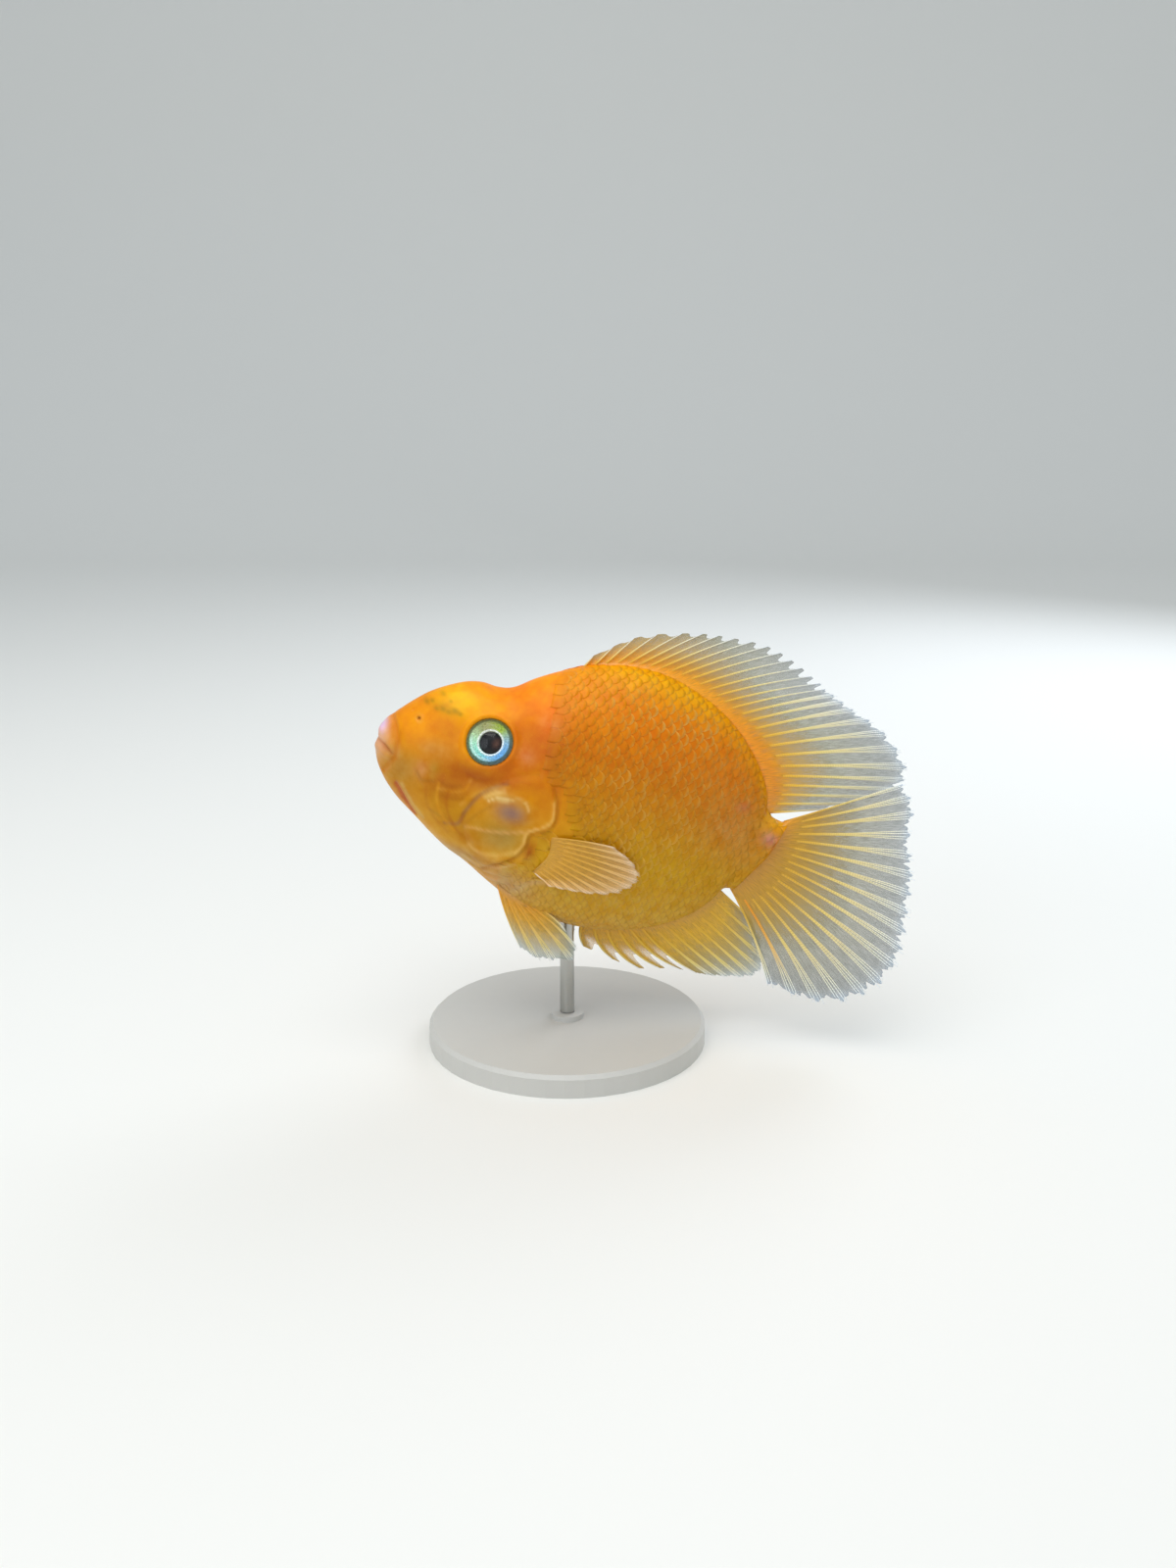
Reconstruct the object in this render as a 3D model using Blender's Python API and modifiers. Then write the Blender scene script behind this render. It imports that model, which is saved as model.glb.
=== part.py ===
"""A blood parrot cichlid as a still, life-size museum model on a plain display stand.

The fish is drawn level in its own frame, in millimetres: a runs from the snout towards the tail,
y is sideways with the left flank at -y, and h is height. The empty swimming_pose turns that frame
nose-up and carries it over the stand. The model is in metres with +Z up, and its origin is the
centre of the base's underside.
"""

import math

import bmesh
import bpy
import numpy as np
from mathutils import Matrix, Vector

MM = 0.001
GAP = 0.3  # mm left between pieces that touch
WELD = 0.01  # mm, points nearer than this are one point
SHORTEST_EDGES = (0.05, 0.02, 0.01, 0.004)  # mm, tried in turn when a cut mesh is closed up
BISECTIONS = 40
SHARP_ANGLE = math.radians(40)

# The pose.
NOSE_UP = math.radians(17)
SNOUT_X = -49.2
SNOUT_Z = 85.3
TAIL_SWAY = 14.0  # mm to the left, at SWAY_LENGTH behind SWAY_START
SWAY_START = 85.0
SWAY_LENGTH = 70.0

# The body's lines. Each station joins a point of the back to a point of the belly:
# back a, back h, belly a, belly h, half width.
STATIONS = (
    (-0.6, 0.6, -0.6, 0.6, 0.0),  # tip of the snout
    (-0.4, 3.9, -0.3, -2.8, 3.0),  # lips
    (0.6, 6.1, 0.7, -5.6, 4.5),
    (2.2, 7.9, 2.3, -8.1, 5.6),  # crease behind the lips
    (5.0, 11.4, 5.2, -11.3, 7.0),
    (9.0, 15.5, 9.0, -14.3, 8.7),  # nostrils, throat fold
    (13.5, 18.8, 14.0, -17.3, 10.4),
    (18.0, 21.2, 19.5, -20.7, 11.9),
    (22.0, 22.2, 25.0, -23.6, 13.0),  # brow over the eyes
    (26.0, 22.1, 30.0, -25.4, 14.0),  # dip of the nape
    (30.0, 23.3, 35.0, -27.9, 15.0),
    (35.0, 27.3, 40.0, -30.3, 15.9),
    (41.0, 31.2, 46.0, -32.6, 16.8),  # root of the pelvic fins
    (48.0, 34.9, 53.0, -34.2, 17.3),  # start of the dorsal fin
    (56.0, 37.3, 60.0, -34.7, 17.3),
    (65.0, 38.2, 67.0, -34.3, 16.6),  # start of the anal fin
    (74.0, 36.8, 74.0, -33.0, 15.2),
    (83.0, 33.6, 81.0, -30.6, 13.2),
    (91.0, 28.8, 87.5, -27.2, 10.8),
    (97.5, 22.8, 93.0, -22.8, 8.4),
    (102.0, 16.6, 96.8, -18.0, 6.5),
    (104.4, 10.4, 99.0, -13.4, 5.3),  # end of the dorsal and anal fins
    (107.5, 9.4, 100.6, -12.6, 4.6),
    (110.2, 9.2, 102.0, -12.4, 4.0),  # root of the tail fin
)
BODY_LENGTH = 110.0
BELLY_HEIGHTS = (-36.0, -8.0)  # the lowest belly and a height inside the body
BACK_SHARPNESS = 1.12
BELLY_FULLNESS = 0.86
RINGS_PER_STATION = 2
POINTS_AROUND = 36
TAIL_CUT = 0.845  # where the tail part leaves the trunk, as a share of the stations

# The line from nape to breast that parts the head from the trunk, along the gill cover's edge.
HEAD_EDGE = (
    (35.0, 34.0),
    (36.0, 22.0),
    (38.0, 12.0),
    (41.4, 6.2),
    (45.8, 4.8),
    (48.6, 1.0),
    (49.3, -4.5),
    (46.9, -7.2),
    (44.9, -9.4),
    (44.8, -12.5),
    (43.3, -16.0),
    (39.6, -19.8),
    (35.0, -24.0),
    (31.0, -28.5),
    (29.5, -38.0),
)
HEAD_EDGE_POINTS = 34
AHEAD = -10.0  # clear of the snout
BEYOND = 130.0  # clear of the tail's end
FAR = 60.0  # clear of the fish above, below and at its sides
# The gill cover's front edge, from its top round by the cheek to its lower end.
COVER_EDGE = (
    (42.5, 6.8),
    (38.0, 4.6),
    (34.2, 2.0),
    (31.2, -1.4),
    (28.7, -5.5),
    (27.1, -10.2),
    (28.2, -15.4),
    (30.9, -19.1),
    (34.7, -20.6),
    (38.6, -21.4),
    (42.5, -22.2),
)
COVER_EDGE_POINTS = 24
COVER_BEHIND = 54.0
COVER_SIDEWAYS = (1.0, 40.0)  # from near the middle plane to clear of the cheek
COVER_STRETCH = (0.1, 0.8)  # stations spanned by the solid that hollows a cover
COVER_DEPTH = 0.83  # the cover's inner face, as a share of the body's width
POCKET_DEPTH = 0.80

# Eye, nostril and mouth.
EYE_A = 28.1
EYE_H = 10.2
EYE_LOOK = Vector((-0.20, -0.92, 0.34)).normalized()
EYE_RADIUS = 6.0
EYE_CURVE = 8.0
EYE_CAP_STEPS = 4
EYE_BACK = ((6.15, -1.2), (5.5, -3.1), (3.6, -4.5), (0.0, -4.9))  # radius, height
EYE_SIDES = 18
SOCKET_REACH = 6.0  # how far the socket's cutter stands out of the head
RIM_RADIUS = 6.9
RIM_THICKNESS = 0.85
RIM_SIDES = 24
RING_SECTION_SIDES = 6
NOSTRIL_A = 8.9
NOSTRIL_H = 9.6
NOSTRIL_RADIUS = 0.5
NOSTRIL_RIM_RADIUS = 0.85
NOSTRIL_RIM_THICKNESS = 0.35
NOSTRIL_RIM_SIDES = 10
NOSTRIL_HOLE = ((0.0, 2.0), (0.5, 2.0), (0.3, -1.2), (0.0, -1.2))  # radius, height
NOSTRIL_HOLE_SIDES = 8
UPPER_LIP = ((0.05, 2.6), (0.9, 2.4), (2.2, 1.7), (3.5, 0.6), (4.6, -0.7))
LOWER_LIP = ((0.1, -1.5), (0.9, -1.7), (2.1, -2.0), (3.3, -2.3), (4.5, -2.3))
LIP_THICKNESS = 1.15
UPPER_LIP_SUNK = 0.5
LOWER_LIP_SUNK = 0.45
MOUTH_LINE = ((-0.2, 0.55), (0.7, 0.3), (2.0, -0.2), (3.4, -0.9), (4.9, -1.7))
MUZZLE_CREASE = ((1.9, 7.0), (3.6, 5.6), (5.0, 3.2), (5.6, 0.6), (5.5, -2.4), (4.6, -5.4), (3.6, -7.4))
THROAT_CREASE = ((8.2, -9.4), (9.8, -11.2), (11.6, -13.2))
CREASE_WIDTH = 0.35
CREASE_OUT = 0.1  # the crease's middle lies this far outside the skin
TUBE_END = 0.45  # a tube's end, as a share of its radius
ON_THE_MIDDLE = 0.2  # mm, a point this near the middle plane isn't drawn on both sides

# Every fin. A ray is a ridge of the membrane that widens from RAY_HALF to RAY_HALF + RAY_FORK
# where it branches; both are shares of the distance between rays.
MEMBRANE = 0.5
RIDGE = 0.95
RIDGE_TIP = 0.6
RAY_HALF = 0.13
RAY_FORK = 0.15
FORK_NOTCH = 0.98  # how far the middle of a branched ray reaches
FLESHY_REACH = 0.3  # how far out the fleshy root goes, as a share of the fin
ROOT_GAP = 0.35
ROOT_LINE_POINTS = 120

# Dorsal fin: roots evenly spaced along the back, tips from front to rear.
DORSAL_ROOT = (12.65 / 23, 20.95 / 23)
DORSAL_RAYS = 25
DORSAL_SPINES = 14
DORSAL_ROWS = 8
DORSAL_NOTCH = 0.94
DORSAL_BOW = 0.05
DORSAL_FLESH = (1.1, 0.8)  # mm at the front and at the rear
DORSAL_TIPS = (
    (47.5, 37.2),
    (57.5, 45.4),
    (70.5, 50.3),
    (80.0, 52.0),
    (90.0, 52.6),
    (98.0, 50.7),
    (105.0, 47.8),
    (110.5, 45.7),
    (117.5, 43.2),
    (129.0, 39.0),
    (137.5, 30.5),
    (132.0, 23.0),
    (118.0, 14.8),
)
DORSAL_SWAY = 3.3
DORSAL_SWAY_START = 60.0
DORSAL_SWAY_LENGTH = 78.0

# Anal fin: the first rays are hooked spines that stand free of each other.
ANAL_ROOT = (14.93 / 23, 20.85 / 23)
ANAL_RAYS = 14
ANAL_SPINES = 6
ANAL_ROWS = 7
ANAL_NOTCH = 0.6
ANAL_LEAN = 0.72
ANAL_BOW = (-0.2, 0.0)  # of the first spine, and of the rays from ANAL_BOW_END on
ANAL_BOW_END = 0.7
ANAL_FLESH = (1.0, 0.5)
ANAL_TIPS = (
    (68.5, -40.5),
    (84.0, -42.4),
    (94.3, -39.8),
    (103.5, -39.4),
    (111.0, -38.0),
    (117.0, -35.8),
    (117.5, -30.0),
    (110.5, -20.3),
)
ANAL_SWAY = 3.0
ANAL_SWAY_START = 68.0
ANAL_SWAY_LENGTH = 48.0

# Tail fin: a wide fan, its tips from the upper corner round to the lower one.
CAUDAL_RAYS = 17
CAUDAL_ROWS = 9
CAUDAL_BRANCH = 0.5
CAUDAL_NOTCH = 0.965
CAUDAL_BOW = (-0.04, 0.07)  # of the upper ray and of the lower one
CAUDAL_ROOT_SHARE = 0.98  # of the tail's own thickness
CAUDAL_TIPS = (
    (134.5, 29.8),
    (139.0, 25.0),
    (141.0, 16.5),
    (144.5, 8.5),
    (146.5, 0.5),
    (148.0, -7.5),
    (149.0, -15.5),
    (146.5, -24.5),
    (140.5, -31.5),
    (131.0, -35.6),
    (119.5, -35.2),
)

# Pectoral fin: lies back along the flank from an upright root.
PECTORAL_ROOT = ((50.2, -8.2), (50.8, -13.0), (48.4, -19.0))
PECTORAL_RAYS = 12
PECTORAL_ROWS = 7
PECTORAL_NOTCH = 0.975
PECTORAL_BOW = (0.06, -0.02)
PECTORAL_FLESH = 1.2
PECTORAL_ROOT_GAP = 0.39
PECTORAL_TIPS = (
    (66.0, -5.3),
    (71.8, -8.0),
    (74.9, -11.5),
    (74.3, -14.9),
    (70.5, -18.2),
    (64.5, -19.9),
    (58.5, -20.6),
    (53.5, -21.0),
)
PECTORAL_STAND_OFF = 2.4

# Pelvic fins: a pair under the breast, splayed so that the rod passes between them.
PELVIC_ROOT = ((41.0, -7.4), (50.0, -7.4))
PELVIC_RAYS = 6
PELVIC_ROWS = 6
PELVIC_BRANCH = 0.4
PELVIC_NOTCH = 0.95
PELVIC_BOW = (-0.1, 0.06)
PELVIC_FLESH = 1.0
PELVIC_ROOT_GAP = 0.45
PELVIC_TIPS = (
    (51.5, -42.2),
    (56.5, -43.9),
    (61.0, -43.1),
    (66.0, -41.7),
    (64.0, -38.4),
    (58.0, -34.4),
)
PELVIC_SPLAY = 2.4

# The stand.
ROD_RADIUS = 2.0
ROD_SIDES = 16
ROD_TOP_GAP = 0.36
BASE_RADIUS = 38.0
BASE_SIDES = 48
BASE_THICKNESS = 6.0
BASE_BEVEL = 1.0
BOSS_RADIUS = 4.5
BOSS_HEIGHT = 1.5

# Finishes: name, linear colour, roughness, metallic.
SKIN = ("scaled skin", (0.75, 0.27, 0.03), 0.35, 0.0)
EYE = ("cornea over iris", (0.30, 0.42, 0.20), 0.08, 0.0)
FIN = ("fin membrane", (0.62, 0.45, 0.12), 0.4, 0.0)
BASE = ("painted base", (0.78, 0.76, 0.72), 0.5, 0.0)
ROD = ("steel rod", (0.60, 0.60, 0.58), 0.3, 1.0)


def curve_through(knots, t, before=None):
    """Catmull-Rom curve through evenly spaced knots, t from 0 at the first to 1 at the last."""
    knots = np.asarray(knots, float)
    last = len(knots) - 1
    place = np.clip(np.asarray(t, float), 0.0, 1.0) * last
    index = np.minimum(place.astype(int), last - 1)
    u = (place - index)[..., None]
    first = 2 * knots[0] - knots[1] if before is None else np.asarray(before, float)
    padded = np.vstack([first, knots, 2 * knots[-1] - knots[-2]])
    p0, p1, p2, p3 = (padded[index + k] for k in range(4))
    square = 2 * p0 - 5 * p1 + 4 * p2 - p3
    cube = 3 * p1 - p0 - 3 * p2 + p3
    return 0.5 * (2 * p1 + (p2 - p0) * u + square * u**2 + cube * u**3)


def between(ends, share):
    """Value that runs evenly from the first of two ends to the second."""
    return ends[0] + (ends[1] - ends[0]) * share


def station(t):
    """Back point, belly point and half width at a share t of the stations. The snout is round:
    the knot before it is the lips station turned upside down."""
    lips = STATIONS[1]
    row = curve_through(STATIONS, t, before=(lips[2], lips[3], lips[0], lips[1], -lips[4]))
    return row[..., 0:2], row[..., 2:4], row[..., 4]


def width_share(phi):
    """Share of the half width at the angle phi from the back: a superellipse, sharper above."""
    power = BELLY_FULLNESS + (BACK_SHARPNESS - BELLY_FULLNESS) * (1 + np.cos(phi)) / 2
    return np.abs(np.sin(phi)) ** power


def sway(a):
    """Sideways place of the body's middle plane: a square law from behind the trunk."""
    return -TAIL_SWAY * (np.maximum(a - SWAY_START, 0.0) / SWAY_LENGTH) ** 2


def body_point(t, phi, plump=1.0):
    """Point of the skin; phi is 0 on the back, a quarter turn on the left flank."""
    t, phi = np.broadcast_arrays(np.asarray(t, float), np.asarray(phi, float))
    back, belly, width = station(t)
    side = (back + belly) / 2 + (back - belly) / 2 * np.cos(phi)[..., None]
    y = sway(side[..., 0]) - plump * width * width_share(phi) * np.sign(np.sin(phi))
    return np.stack([side[..., 0], y, side[..., 1]], axis=-1)


def flank(a, h):
    """Half width of the body at (a, h), by bisection for the station whose line holds the point."""
    a, h = np.broadcast_arrays(np.asarray(a, float), np.asarray(h, float))
    low, high = np.zeros(a.shape), np.ones(a.shape)
    for _ in range(BISECTIONS):
        t = (low + high) / 2
        back, belly, _ = station(t)
        across = (back[..., 0] - belly[..., 0]) * (h - belly[..., 1])
        across = across - (back[..., 1] - belly[..., 1]) * (a - belly[..., 0])
        low, high = np.where(across < 0, t, low), np.where(across < 0, high, t)
    back, belly, width = station(t)
    half, middle = (back - belly) / 2, (back + belly) / 2
    offset = np.stack([a, h], axis=-1) - middle
    share = (offset * half).sum(-1) / (half**2).sum(-1)
    return width * width_share(np.arccos(np.clip(share, -1.0, 1.0)))


def underside(a, y):
    """Height of the belly's surface at (a, y), by bisection between the belly and mid-height."""
    a, y = np.broadcast_arrays(np.asarray(a, float), np.asarray(y, float))
    low, high = (np.full(a.shape, height) for height in BELLY_HEIGHTS)
    for _ in range(BISECTIONS):
        h = (low + high) / 2
        outside = flank(a, h) <= np.abs(y)
        low, high = np.where(outside, h, low), np.where(outside, high, h)
    return high


def skin_point(a, h, out=0.0):
    """Point on the left flank at (a, h), moved outwards by out, and the outward direction there."""
    step = 0.2
    slope_a = float(flank(a + step, h) - flank(a - step, h)) / (2 * step)
    slope_h = float(flank(a, h + step) - flank(a, h - step)) / (2 * step)
    normal = Vector((-slope_a, -1.0, -slope_h)).normalized()
    return Vector((a, float(sway(a) - flank(a, h)), h)) + normal * out, normal


def new_collection(name):
    collection = bpy.data.collections.new(name)
    bpy.context.scene.collection.children.link(collection)
    return collection


def material(name, colour, roughness, metallic):
    made = bpy.data.materials.new(name)
    made.use_nodes = True
    shader = made.node_tree.nodes["Principled BSDF"]
    shader.inputs["Base Color"].default_value = (*colour, 1.0)
    shader.inputs["Roughness"].default_value = roughness
    shader.inputs["Metallic"].default_value = metallic
    return made


def new_object(name, mesh, collection):
    made = bpy.data.objects.new(name, mesh)
    collection.objects.link(made)
    return made


def solid_from(name, points, faces, collection):
    """Closed mesh from points in millimetres, turned the right way out."""
    mesh = bpy.data.meshes.new(name)
    mesh.from_pydata((np.asarray(points) * MM).tolist(), [], faces)
    shape = bmesh.new()
    shape.from_mesh(mesh)
    bmesh.ops.recalc_face_normals(shape, faces=shape.faces)
    if shape.calc_volume(signed=True) < 0:
        bmesh.ops.reverse_faces(shape, faces=shape.faces)
    shape.to_mesh(mesh)
    shape.free()
    return new_object(name, mesh, collection)


def loft(name, rings, collection):
    """Closed loft through rings of equal length; a ring whose points coincide becomes a pole."""
    count, around = rings.shape[:2]
    points = [tuple(p) for p in rings.reshape(-1, 3)]
    faces = []
    for i in range(count - 1):
        for j in range(around):
            k = (j + 1) % around
            faces.append((i * around + j, i * around + k, (i + 1) * around + k, (i + 1) * around + j))
    faces.append(tuple(range(around)))
    faces.append(tuple(range((count - 1) * around, count * around)))
    made = solid_from(name, points, faces, collection)
    shape = bmesh.new()
    shape.from_mesh(made.data)
    bmesh.ops.remove_doubles(shape, verts=shape.verts, dist=WELD * MM)
    bmesh.ops.recalc_face_normals(shape, faces=shape.faces)
    shape.to_mesh(made.data)
    shape.free()
    return made


def body_loft(name, start, end, collection, plump=1.0):
    """The body between two shares of the stations, with flat ends."""
    rings = round((end - start) * (len(STATIONS) - 1) * RINGS_PER_STATION) + 1
    t = np.linspace(start, end, rings)[:, None]
    phi = np.linspace(0, 2 * math.pi, POINTS_AROUND, endpoint=False)[None, :]
    return loft(name, body_point(t, phi, plump), collection)


def prism(name, outline, low_y, high_y, collection):
    """Flat outline in the (a, h) plane, carried straight across the fish."""
    count = len(outline)
    points = [(a, low_y, h) for a, h in outline] + [(a, high_y, h) for a, h in outline]
    faces = [tuple(range(count)), tuple(range(count, 2 * count))]
    for i in range(count):
        j = (i + 1) % count
        faces.append((i, j, count + j, count + i))
    return solid_from(name, points, faces, collection)


def smooth_line(knots, points):
    return [tuple(p) for p in curve_through(knots, np.linspace(0, 1, points))]


def pushed(line, distance):
    """The line moved sideways, to the left of its run, by a distance."""
    line = np.asarray(line)
    along = np.gradient(line, axis=0)
    along /= np.linalg.norm(along, axis=1)[:, None]
    return [tuple(p) for p in line + np.stack([-along[:, 1], along[:, 0]], axis=1) * distance]


def tube(name, points, radius, collection):
    """Round bar along points, from a curve with filled caps, tapered at both ends."""
    curve = bpy.data.curves.new(name, "CURVE")
    curve.dimensions = "3D"
    curve.bevel_depth = radius * MM
    curve.bevel_resolution = 1
    curve.use_fill_caps = True
    spline = curve.splines.new("POLY")
    spline.points.add(len(points) - 1)
    for i, (place, point) in enumerate(zip(points, spline.points)):
        point.co = (*(Vector(place) * MM), 1.0)
        point.radius = TUBE_END if i in (0, len(points) - 1) else 1.0
    made = new_object(name + "_curve", curve, collection)
    bpy.context.view_layer.update()
    graph = bpy.context.evaluated_depsgraph_get()
    mesh = bpy.data.meshes.new_from_object(made.evaluated_get(graph))
    bpy.data.objects.remove(made)
    shape = bmesh.new()
    shape.from_mesh(mesh)
    bmesh.ops.remove_doubles(shape, verts=shape.verts, dist=WELD * MM)
    bmesh.ops.recalc_face_normals(shape, faces=shape.faces)
    shape.to_mesh(mesh)
    shape.free()
    return new_object(name, mesh, collection)


def turned(name, profile, sides, collection):
    """Profile of (radius, height) in millimetres, top to bottom, turned about Z into a solid."""
    shape = bmesh.new()
    corners = [shape.verts.new((r * MM, 0.0, z * MM)) for r, z in profile]
    for start, end in zip(corners, corners[1:]):
        shape.edges.new((start, end))
    mesh = bpy.data.meshes.new(name)
    shape.to_mesh(mesh)
    shape.free()
    made = new_object(name, mesh, collection)
    screw = made.modifiers.new("turn", "SCREW")
    screw.axis = "Z"
    screw.steps = sides
    screw.render_steps = sides
    screw.use_merge_vertices = True
    screw.merge_threshold = WELD * MM
    return made


def settle(made):
    """Replaces an object's mesh by what its modifiers make of it."""
    bpy.context.view_layer.update()
    graph = bpy.context.evaluated_depsgraph_get()
    mesh = bpy.data.meshes.new_from_object(made.evaluated_get(graph))
    made.modifiers.clear()
    made.data = mesh


def closed_up(mesh):
    """The mesh with its short edges and thin faces closed up, by the widest of a few distances
    that leaves every edge with two faces."""
    for distance in SHORTEST_EDGES:
        shape = bmesh.new()
        shape.from_mesh(mesh)
        bmesh.ops.remove_doubles(shape, verts=shape.verts, dist=distance * MM)
        bmesh.ops.triangulate(shape, faces=shape.faces)
        bmesh.ops.dissolve_degenerate(shape, dist=distance / 2 * MM, edges=shape.edges)
        bmesh.ops.triangulate(shape, faces=shape.faces)
        if all(edge.is_manifold for edge in shape.edges):
            return shape
        shape.free()
    shape = bmesh.new()
    shape.from_mesh(mesh)
    return shape


def largest_shell(made):
    """Closes up what a cut leaves and keeps only the largest closed surface."""
    shape = closed_up(made.data)
    left = set(shape.verts)
    shells = []
    while left:
        shell = set()
        front = [left.pop()]
        while front:
            vertex = front.pop()
            shell.add(vertex)
            for edge in vertex.link_edges:
                other = edge.other_vert(vertex)
                if other in left:
                    left.discard(other)
                    front.append(other)
        shells.append(shell)

    def volume(shell):
        total = 0.0
        for face in {f for v in shell for f in v.link_faces}:
            corners = [v.co for v in face.verts]
            for second, third in zip(corners[1:], corners[2:]):
                total += corners[0].dot(second.cross(third))
        return abs(total)

    keep = max(shells, key=volume)
    dropped = [v for shell in shells if shell is not keep for v in shell]
    bmesh.ops.delete(shape, geom=dropped, context="VERTS")
    shape.to_mesh(made.data)
    shape.free()


def combine(made, operation, tools):
    """Joins, cuts or intersects an object with the tools in one step, and removes the tools."""
    group = bpy.data.collections.new("tools")
    bpy.context.scene.collection.children.link(group)
    for tool in tools:
        group.objects.link(tool)
        tool.hide_render = True
        tool.display_type = "WIRE"
    boolean = made.modifiers.new(operation.lower(), "BOOLEAN")
    boolean.operation = operation
    boolean.operand_type = "COLLECTION"
    boolean.collection = group
    boolean.solver = "EXACT"
    settle(made)
    for tool in tools:
        bpy.data.objects.remove(tool)
    bpy.data.collections.remove(group)
    largest_shell(made)


def copy_of(made, name, collection):
    return new_object(name, made.data.copy(), collection)


def place_along(made, origin, direction):
    """Stands an object's Z axis along a direction at a point given in millimetres."""
    turn = Vector(direction).to_track_quat("Z", "Y").to_matrix().to_4x4()
    made.matrix_world = Matrix.Translation(Vector(origin) * MM) @ turn


def mirrored(point, side):
    """The left side's point, or for side +1 the right side's."""
    return Vector((point[0], -side * point[1], point[2]))


def ring(name, radius, thickness, sides, collection):
    """Torus about Z."""
    shape = bmesh.new()
    grid = []
    for i in range(sides):
        turn = 2 * math.pi * i / sides
        row = []
        for j in range(RING_SECTION_SIDES):
            roll = 2 * math.pi * j / RING_SECTION_SIDES
            out = (radius + thickness * math.cos(roll)) * MM
            up = thickness * math.sin(roll) * MM
            row.append(shape.verts.new((out * math.cos(turn), out * math.sin(turn), up)))
        grid.append(row)
    for i in range(sides):
        for j in range(RING_SECTION_SIDES):
            k, m = (i + 1) % sides, (j + 1) % RING_SECTION_SIDES
            shape.faces.new((grid[i][j], grid[k][j], grid[k][m], grid[i][m]))
    bmesh.ops.recalc_face_normals(shape, faces=shape.faces)
    mesh = bpy.data.meshes.new(name)
    shape.to_mesh(mesh)
    shape.free()
    return new_object(name, mesh, collection)


def on_both_sides(line, out):
    """A line of (a, h) places from the middle of the snout to one side, drawn on both flanks
    as one run of points."""
    left = [skin_point(a, h, out)[0] for a, h in line]
    right = [Vector((p[0], -p[1], p[2])) for p in left]
    return right[::-1] + (left[1:] if abs(left[0][1]) < ON_THE_MIDDLE else left)


def make_body(fish, tools):
    """The head, trunk and tail, cut from one loft so that they meet face to face."""
    edge = smooth_line(HEAD_EDGE, HEAD_EDGE_POINTS)
    front = [(AHEAD, edge[-1][1]), (AHEAD, edge[0][1])] + edge
    rear = pushed(edge, GAP)[::-1]
    rear = rear + [(rear[-1][0], FAR), (BEYOND, FAR), (BEYOND, -FAR), (rear[0][0], -FAR)]
    step = GAP / 2 / BODY_LENGTH
    whole = body_loft("whole", 0.0, TAIL_CUT - step, tools)
    head = copy_of(whole, "head", fish)
    combine(head, "INTERSECT", [prism("front", front, -FAR, FAR, tools)])
    trunk = copy_of(whole, "trunk", fish)
    combine(trunk, "INTERSECT", [prism("rear", rear, -FAR, FAR, tools)])
    bpy.data.objects.remove(whole)
    tail = body_loft("tail_base", TAIL_CUT + step, 1.0, fish)
    return head, trunk, tail


def make_gill_covers(head, fish, tools):
    """A plate on each cheek behind the preopercle, let into a pocket of the head."""
    edge = smooth_line(COVER_EDGE, COVER_EDGE_POINTS)
    behind = [(COVER_BEHIND, edge[-1][1]), (COVER_BEHIND, edge[0][1])]
    covers = []
    pockets = []
    for side, name in ((-1, "left"), (1, "right")):
        near, far = sorted(side * y for y in COVER_SIDEWAYS)
        cover = copy_of(head, f"gill_cover_{name}", fish)
        combine(cover, "INTERSECT", [prism("outline", edge + behind, near, far, tools)])
        combine(cover, "DIFFERENCE", [body_loft("inner", *COVER_STRETCH, tools, COVER_DEPTH)])
        covers.append(cover)
        wider = pushed(edge, -GAP)
        wider = wider + [(COVER_BEHIND, wider[-1][1]), (COVER_BEHIND, wider[0][1])]
        pocket = prism("pocket", wider, near, far, tools)
        combine(pocket, "DIFFERENCE", [body_loft("core", *COVER_STRETCH, tools, POCKET_DEPTH)])
        pockets.append(pocket)
    for pocket in pockets:
        combine(head, "DIFFERENCE", [pocket])
    return covers


def eye_profile(grow):
    """The eye from its crown to its back; grow widens it into the socket, open to the front."""
    if grow:
        opening = EYE_RADIUS + grow
        back = [(r + grow if r else 0.0, z - grow) for r, z in EYE_BACK]
        return [(0.0, SOCKET_REACH), (opening, SOCKET_REACH), (opening, 0.0)] + back
    angle = math.asin(EYE_RADIUS / EYE_CURVE)
    turns = [angle * i / EYE_CAP_STEPS for i in range(EYE_CAP_STEPS + 1)]
    sink = EYE_CURVE * math.cos(angle)
    cap = [(EYE_CURVE * math.sin(turn), EYE_CURVE * math.cos(turn) - sink) for turn in turns]
    return cap + list(EYE_BACK)


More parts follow.
